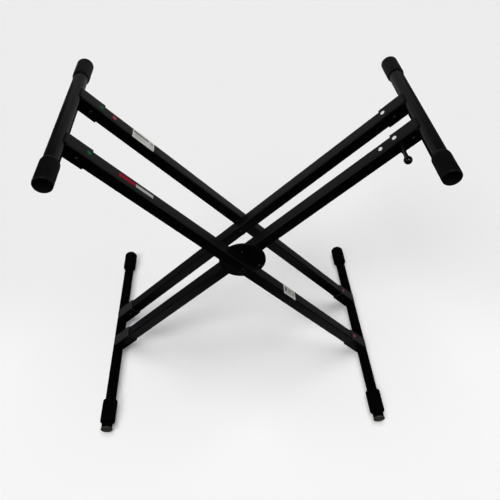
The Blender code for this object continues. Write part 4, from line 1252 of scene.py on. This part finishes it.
# Painted light: the floor's colour runs from lighter near the camera to darker at the back, standing for
# light that falls off across the floor.
FALLOFF_START, FALLOFF_END = -0.17, 0.28
NEAR_WHITE, FAR_WHITE = (*grey(0.93), 1.0), (*grey(0.845), 1.0)
half = FLOOR_SIZE / 2
corners = [(-half, -half, 0), (half, -half, 0), (half, half, 0), (-half, half, 0)]
floor_mesh = bpy.data.meshes.new("floor")
floor_mesh.from_pydata(corners, [], [(0, 1, 2, 3)])
floor = add_object("floor", floor_mesh)
floor.location.z = -FLOOR_DROP
floor_paint = bpy.data.materials.new("pale_floor")
floor_paint.use_nodes = True
tree = floor_paint.node_tree
floor_place = add_node(tree, "TexCoord").outputs["Object"]
depth = add_node(tree, "SeparateXYZ", {"Vector": floor_place}).outputs["Y"]
blend = map_range(tree, depth, FALLOFF_START, FALLOFF_END, kind="SMOOTHSTEP")
floor_falloff_colour = mix_node(tree, "RGBA", blend, NEAR_WHITE, FAR_WHITE)
shader = tree.nodes["Principled BSDF"]
feed(tree, shader, {"Roughness": 0.9, "Specular IOR Level": 0.0, "Emission Strength": FLOOR_GLOW})
feed(tree, shader, {"Base Color": floor_falloff_colour, "Emission Color": floor_falloff_colour})
floor_mesh.materials.append(floor_paint)
floor.visible_glossy = False
floor.visible_diffuse = False
print("floor", FLOOR_SIZE, "m")

# %% World
ALL_ROUND = ((0.0, 0.001), (0.49, 0.002), (0.54, 0.03), (0.68, 0.03), (0.78, 0.018), (1.0, 0.006))
BEHIND = ((0.0, 0.0), (0.28, 0.0), (0.33, 0.20), (0.40, 0.125), (0.45, 0.07), (0.50, 0.03), (0.54, 0.0))
DIMMER_LEFT = 0.55
world = bpy.data.worlds.new("studio")
bpy.context.scene.world = world
world.use_nodes = True
tree = world.node_tree


def ramp(factor, stops):
    """Grey levels that change with the factor, given as (position, level)."""
    node = add_node(tree, "ValToRGB", {"Fac": factor})
    while len(node.color_ramp.elements) < len(stops):
        node.color_ramp.elements.new(0.5)
    for element, (position, level) in zip(node.color_ramp.elements, stops):
        element.position = position
        element.color = (*grey(level), 1.0)
    return node.outputs["Color"]


direction = add_node(tree, "TexCoord").outputs["Generated"]
toward = add_node(tree, "SeparateXYZ", {"Vector": direction}).outputs
height = math_node(tree, "MULTIPLY_ADD", toward["Z"], 0.5, 0.5)
behind = map_range(tree, toward["Y"], 0.0, 0.5, kind="SMOOTHSTEP")
sideways = map_range(tree, toward["X"], -0.7, 0.7, start=DIMMER_LEFT)
low_part = math_node(tree, "MULTIPLY", ramp(height, BEHIND), behind)
whole = math_node(tree, "ADD", ramp(height, ALL_ROUND), low_part)
band = math_node(tree, "MULTIPLY", whole, sideways)
camera_ray = add_node(tree, "LightPath").outputs["Is Camera Ray"]
feed(tree, tree.nodes["Background"], {"Color": mix_node(tree, "RGBA", camera_ray, band, FAR_WHITE)})
print("world ready")

# %% Lights
def add_lamp(name, kind, strength, glossy, diffuse):
    """A light that the camera doesn't see."""
    lamp = add_object(name, bpy.data.lights.new(name, kind))
    lamp.data.energy = strength
    lamp.visible_camera = False
    lamp.visible_glossy = glossy
    lamp.visible_diffuse = diffuse
    return lamp


# Name, strength, width in the sky, tip round X, then swing round Z (degrees), and what sees it.
SUNS = [
    ("overhead", 1.55, 42.0, -7.0, 0.0, False, True),
    ("front_high", 1.2, 24.0, 40.0, -42.0, False, True),
    ("front_glint", 0.55, 20.0, 40.0, 0.0, True, False),
]
# Name, place, what it faces, size and power. Only reflections see these.
CARDS = [
    ("rear_card", (0.0, 0.9, 0.63), (0.0, 0.0, 0.63), (1.6, 0.85), 0.87),
    ("left_card", (-2.7, -1.3, 1.75), (0.0, 0.0, 0.4), (1.6, 1.3), 8.0),
    ("right_card", (2.7, -1.3, 1.75), (0.0, 0.0, 0.4), (1.6, 1.3), 8.0),
    ("floor_card", (0.0, -0.19, 0.004), (0.0, -0.19, 1.0), (0.75, 0.2), 0.06),
    ("rear_top_card", (0.0, 0.9, 1.25), (0.0, 0.2, 0.77), (1.4, 0.35), 0.28),
]
for name, strength, width, tip, swing, glossy, diffuse in SUNS:
    sun = add_lamp(name, "SUN", strength, glossy, diffuse)
    sun.data.angle = math.radians(width)
    sun.rotation_euler = (math.radians(tip), 0.0, math.radians(swing))
for name, place, target, size, power in CARDS:
    card = add_lamp(name, "AREA", power, True, False)
    card.data.shape = "RECTANGLE"
    card.data.size, card.data.size_y = size
    card.location = place
    card.rotation_euler = (Vector(target) - Vector(place)).to_track_quat("-Z", "Y").to_euler()
bpy.context.scene.view_settings.view_transform = "Standard"
print(len(SUNS), "suns and", len(CARDS), "cards")

# %% Final update
bpy.context.view_layer.update()
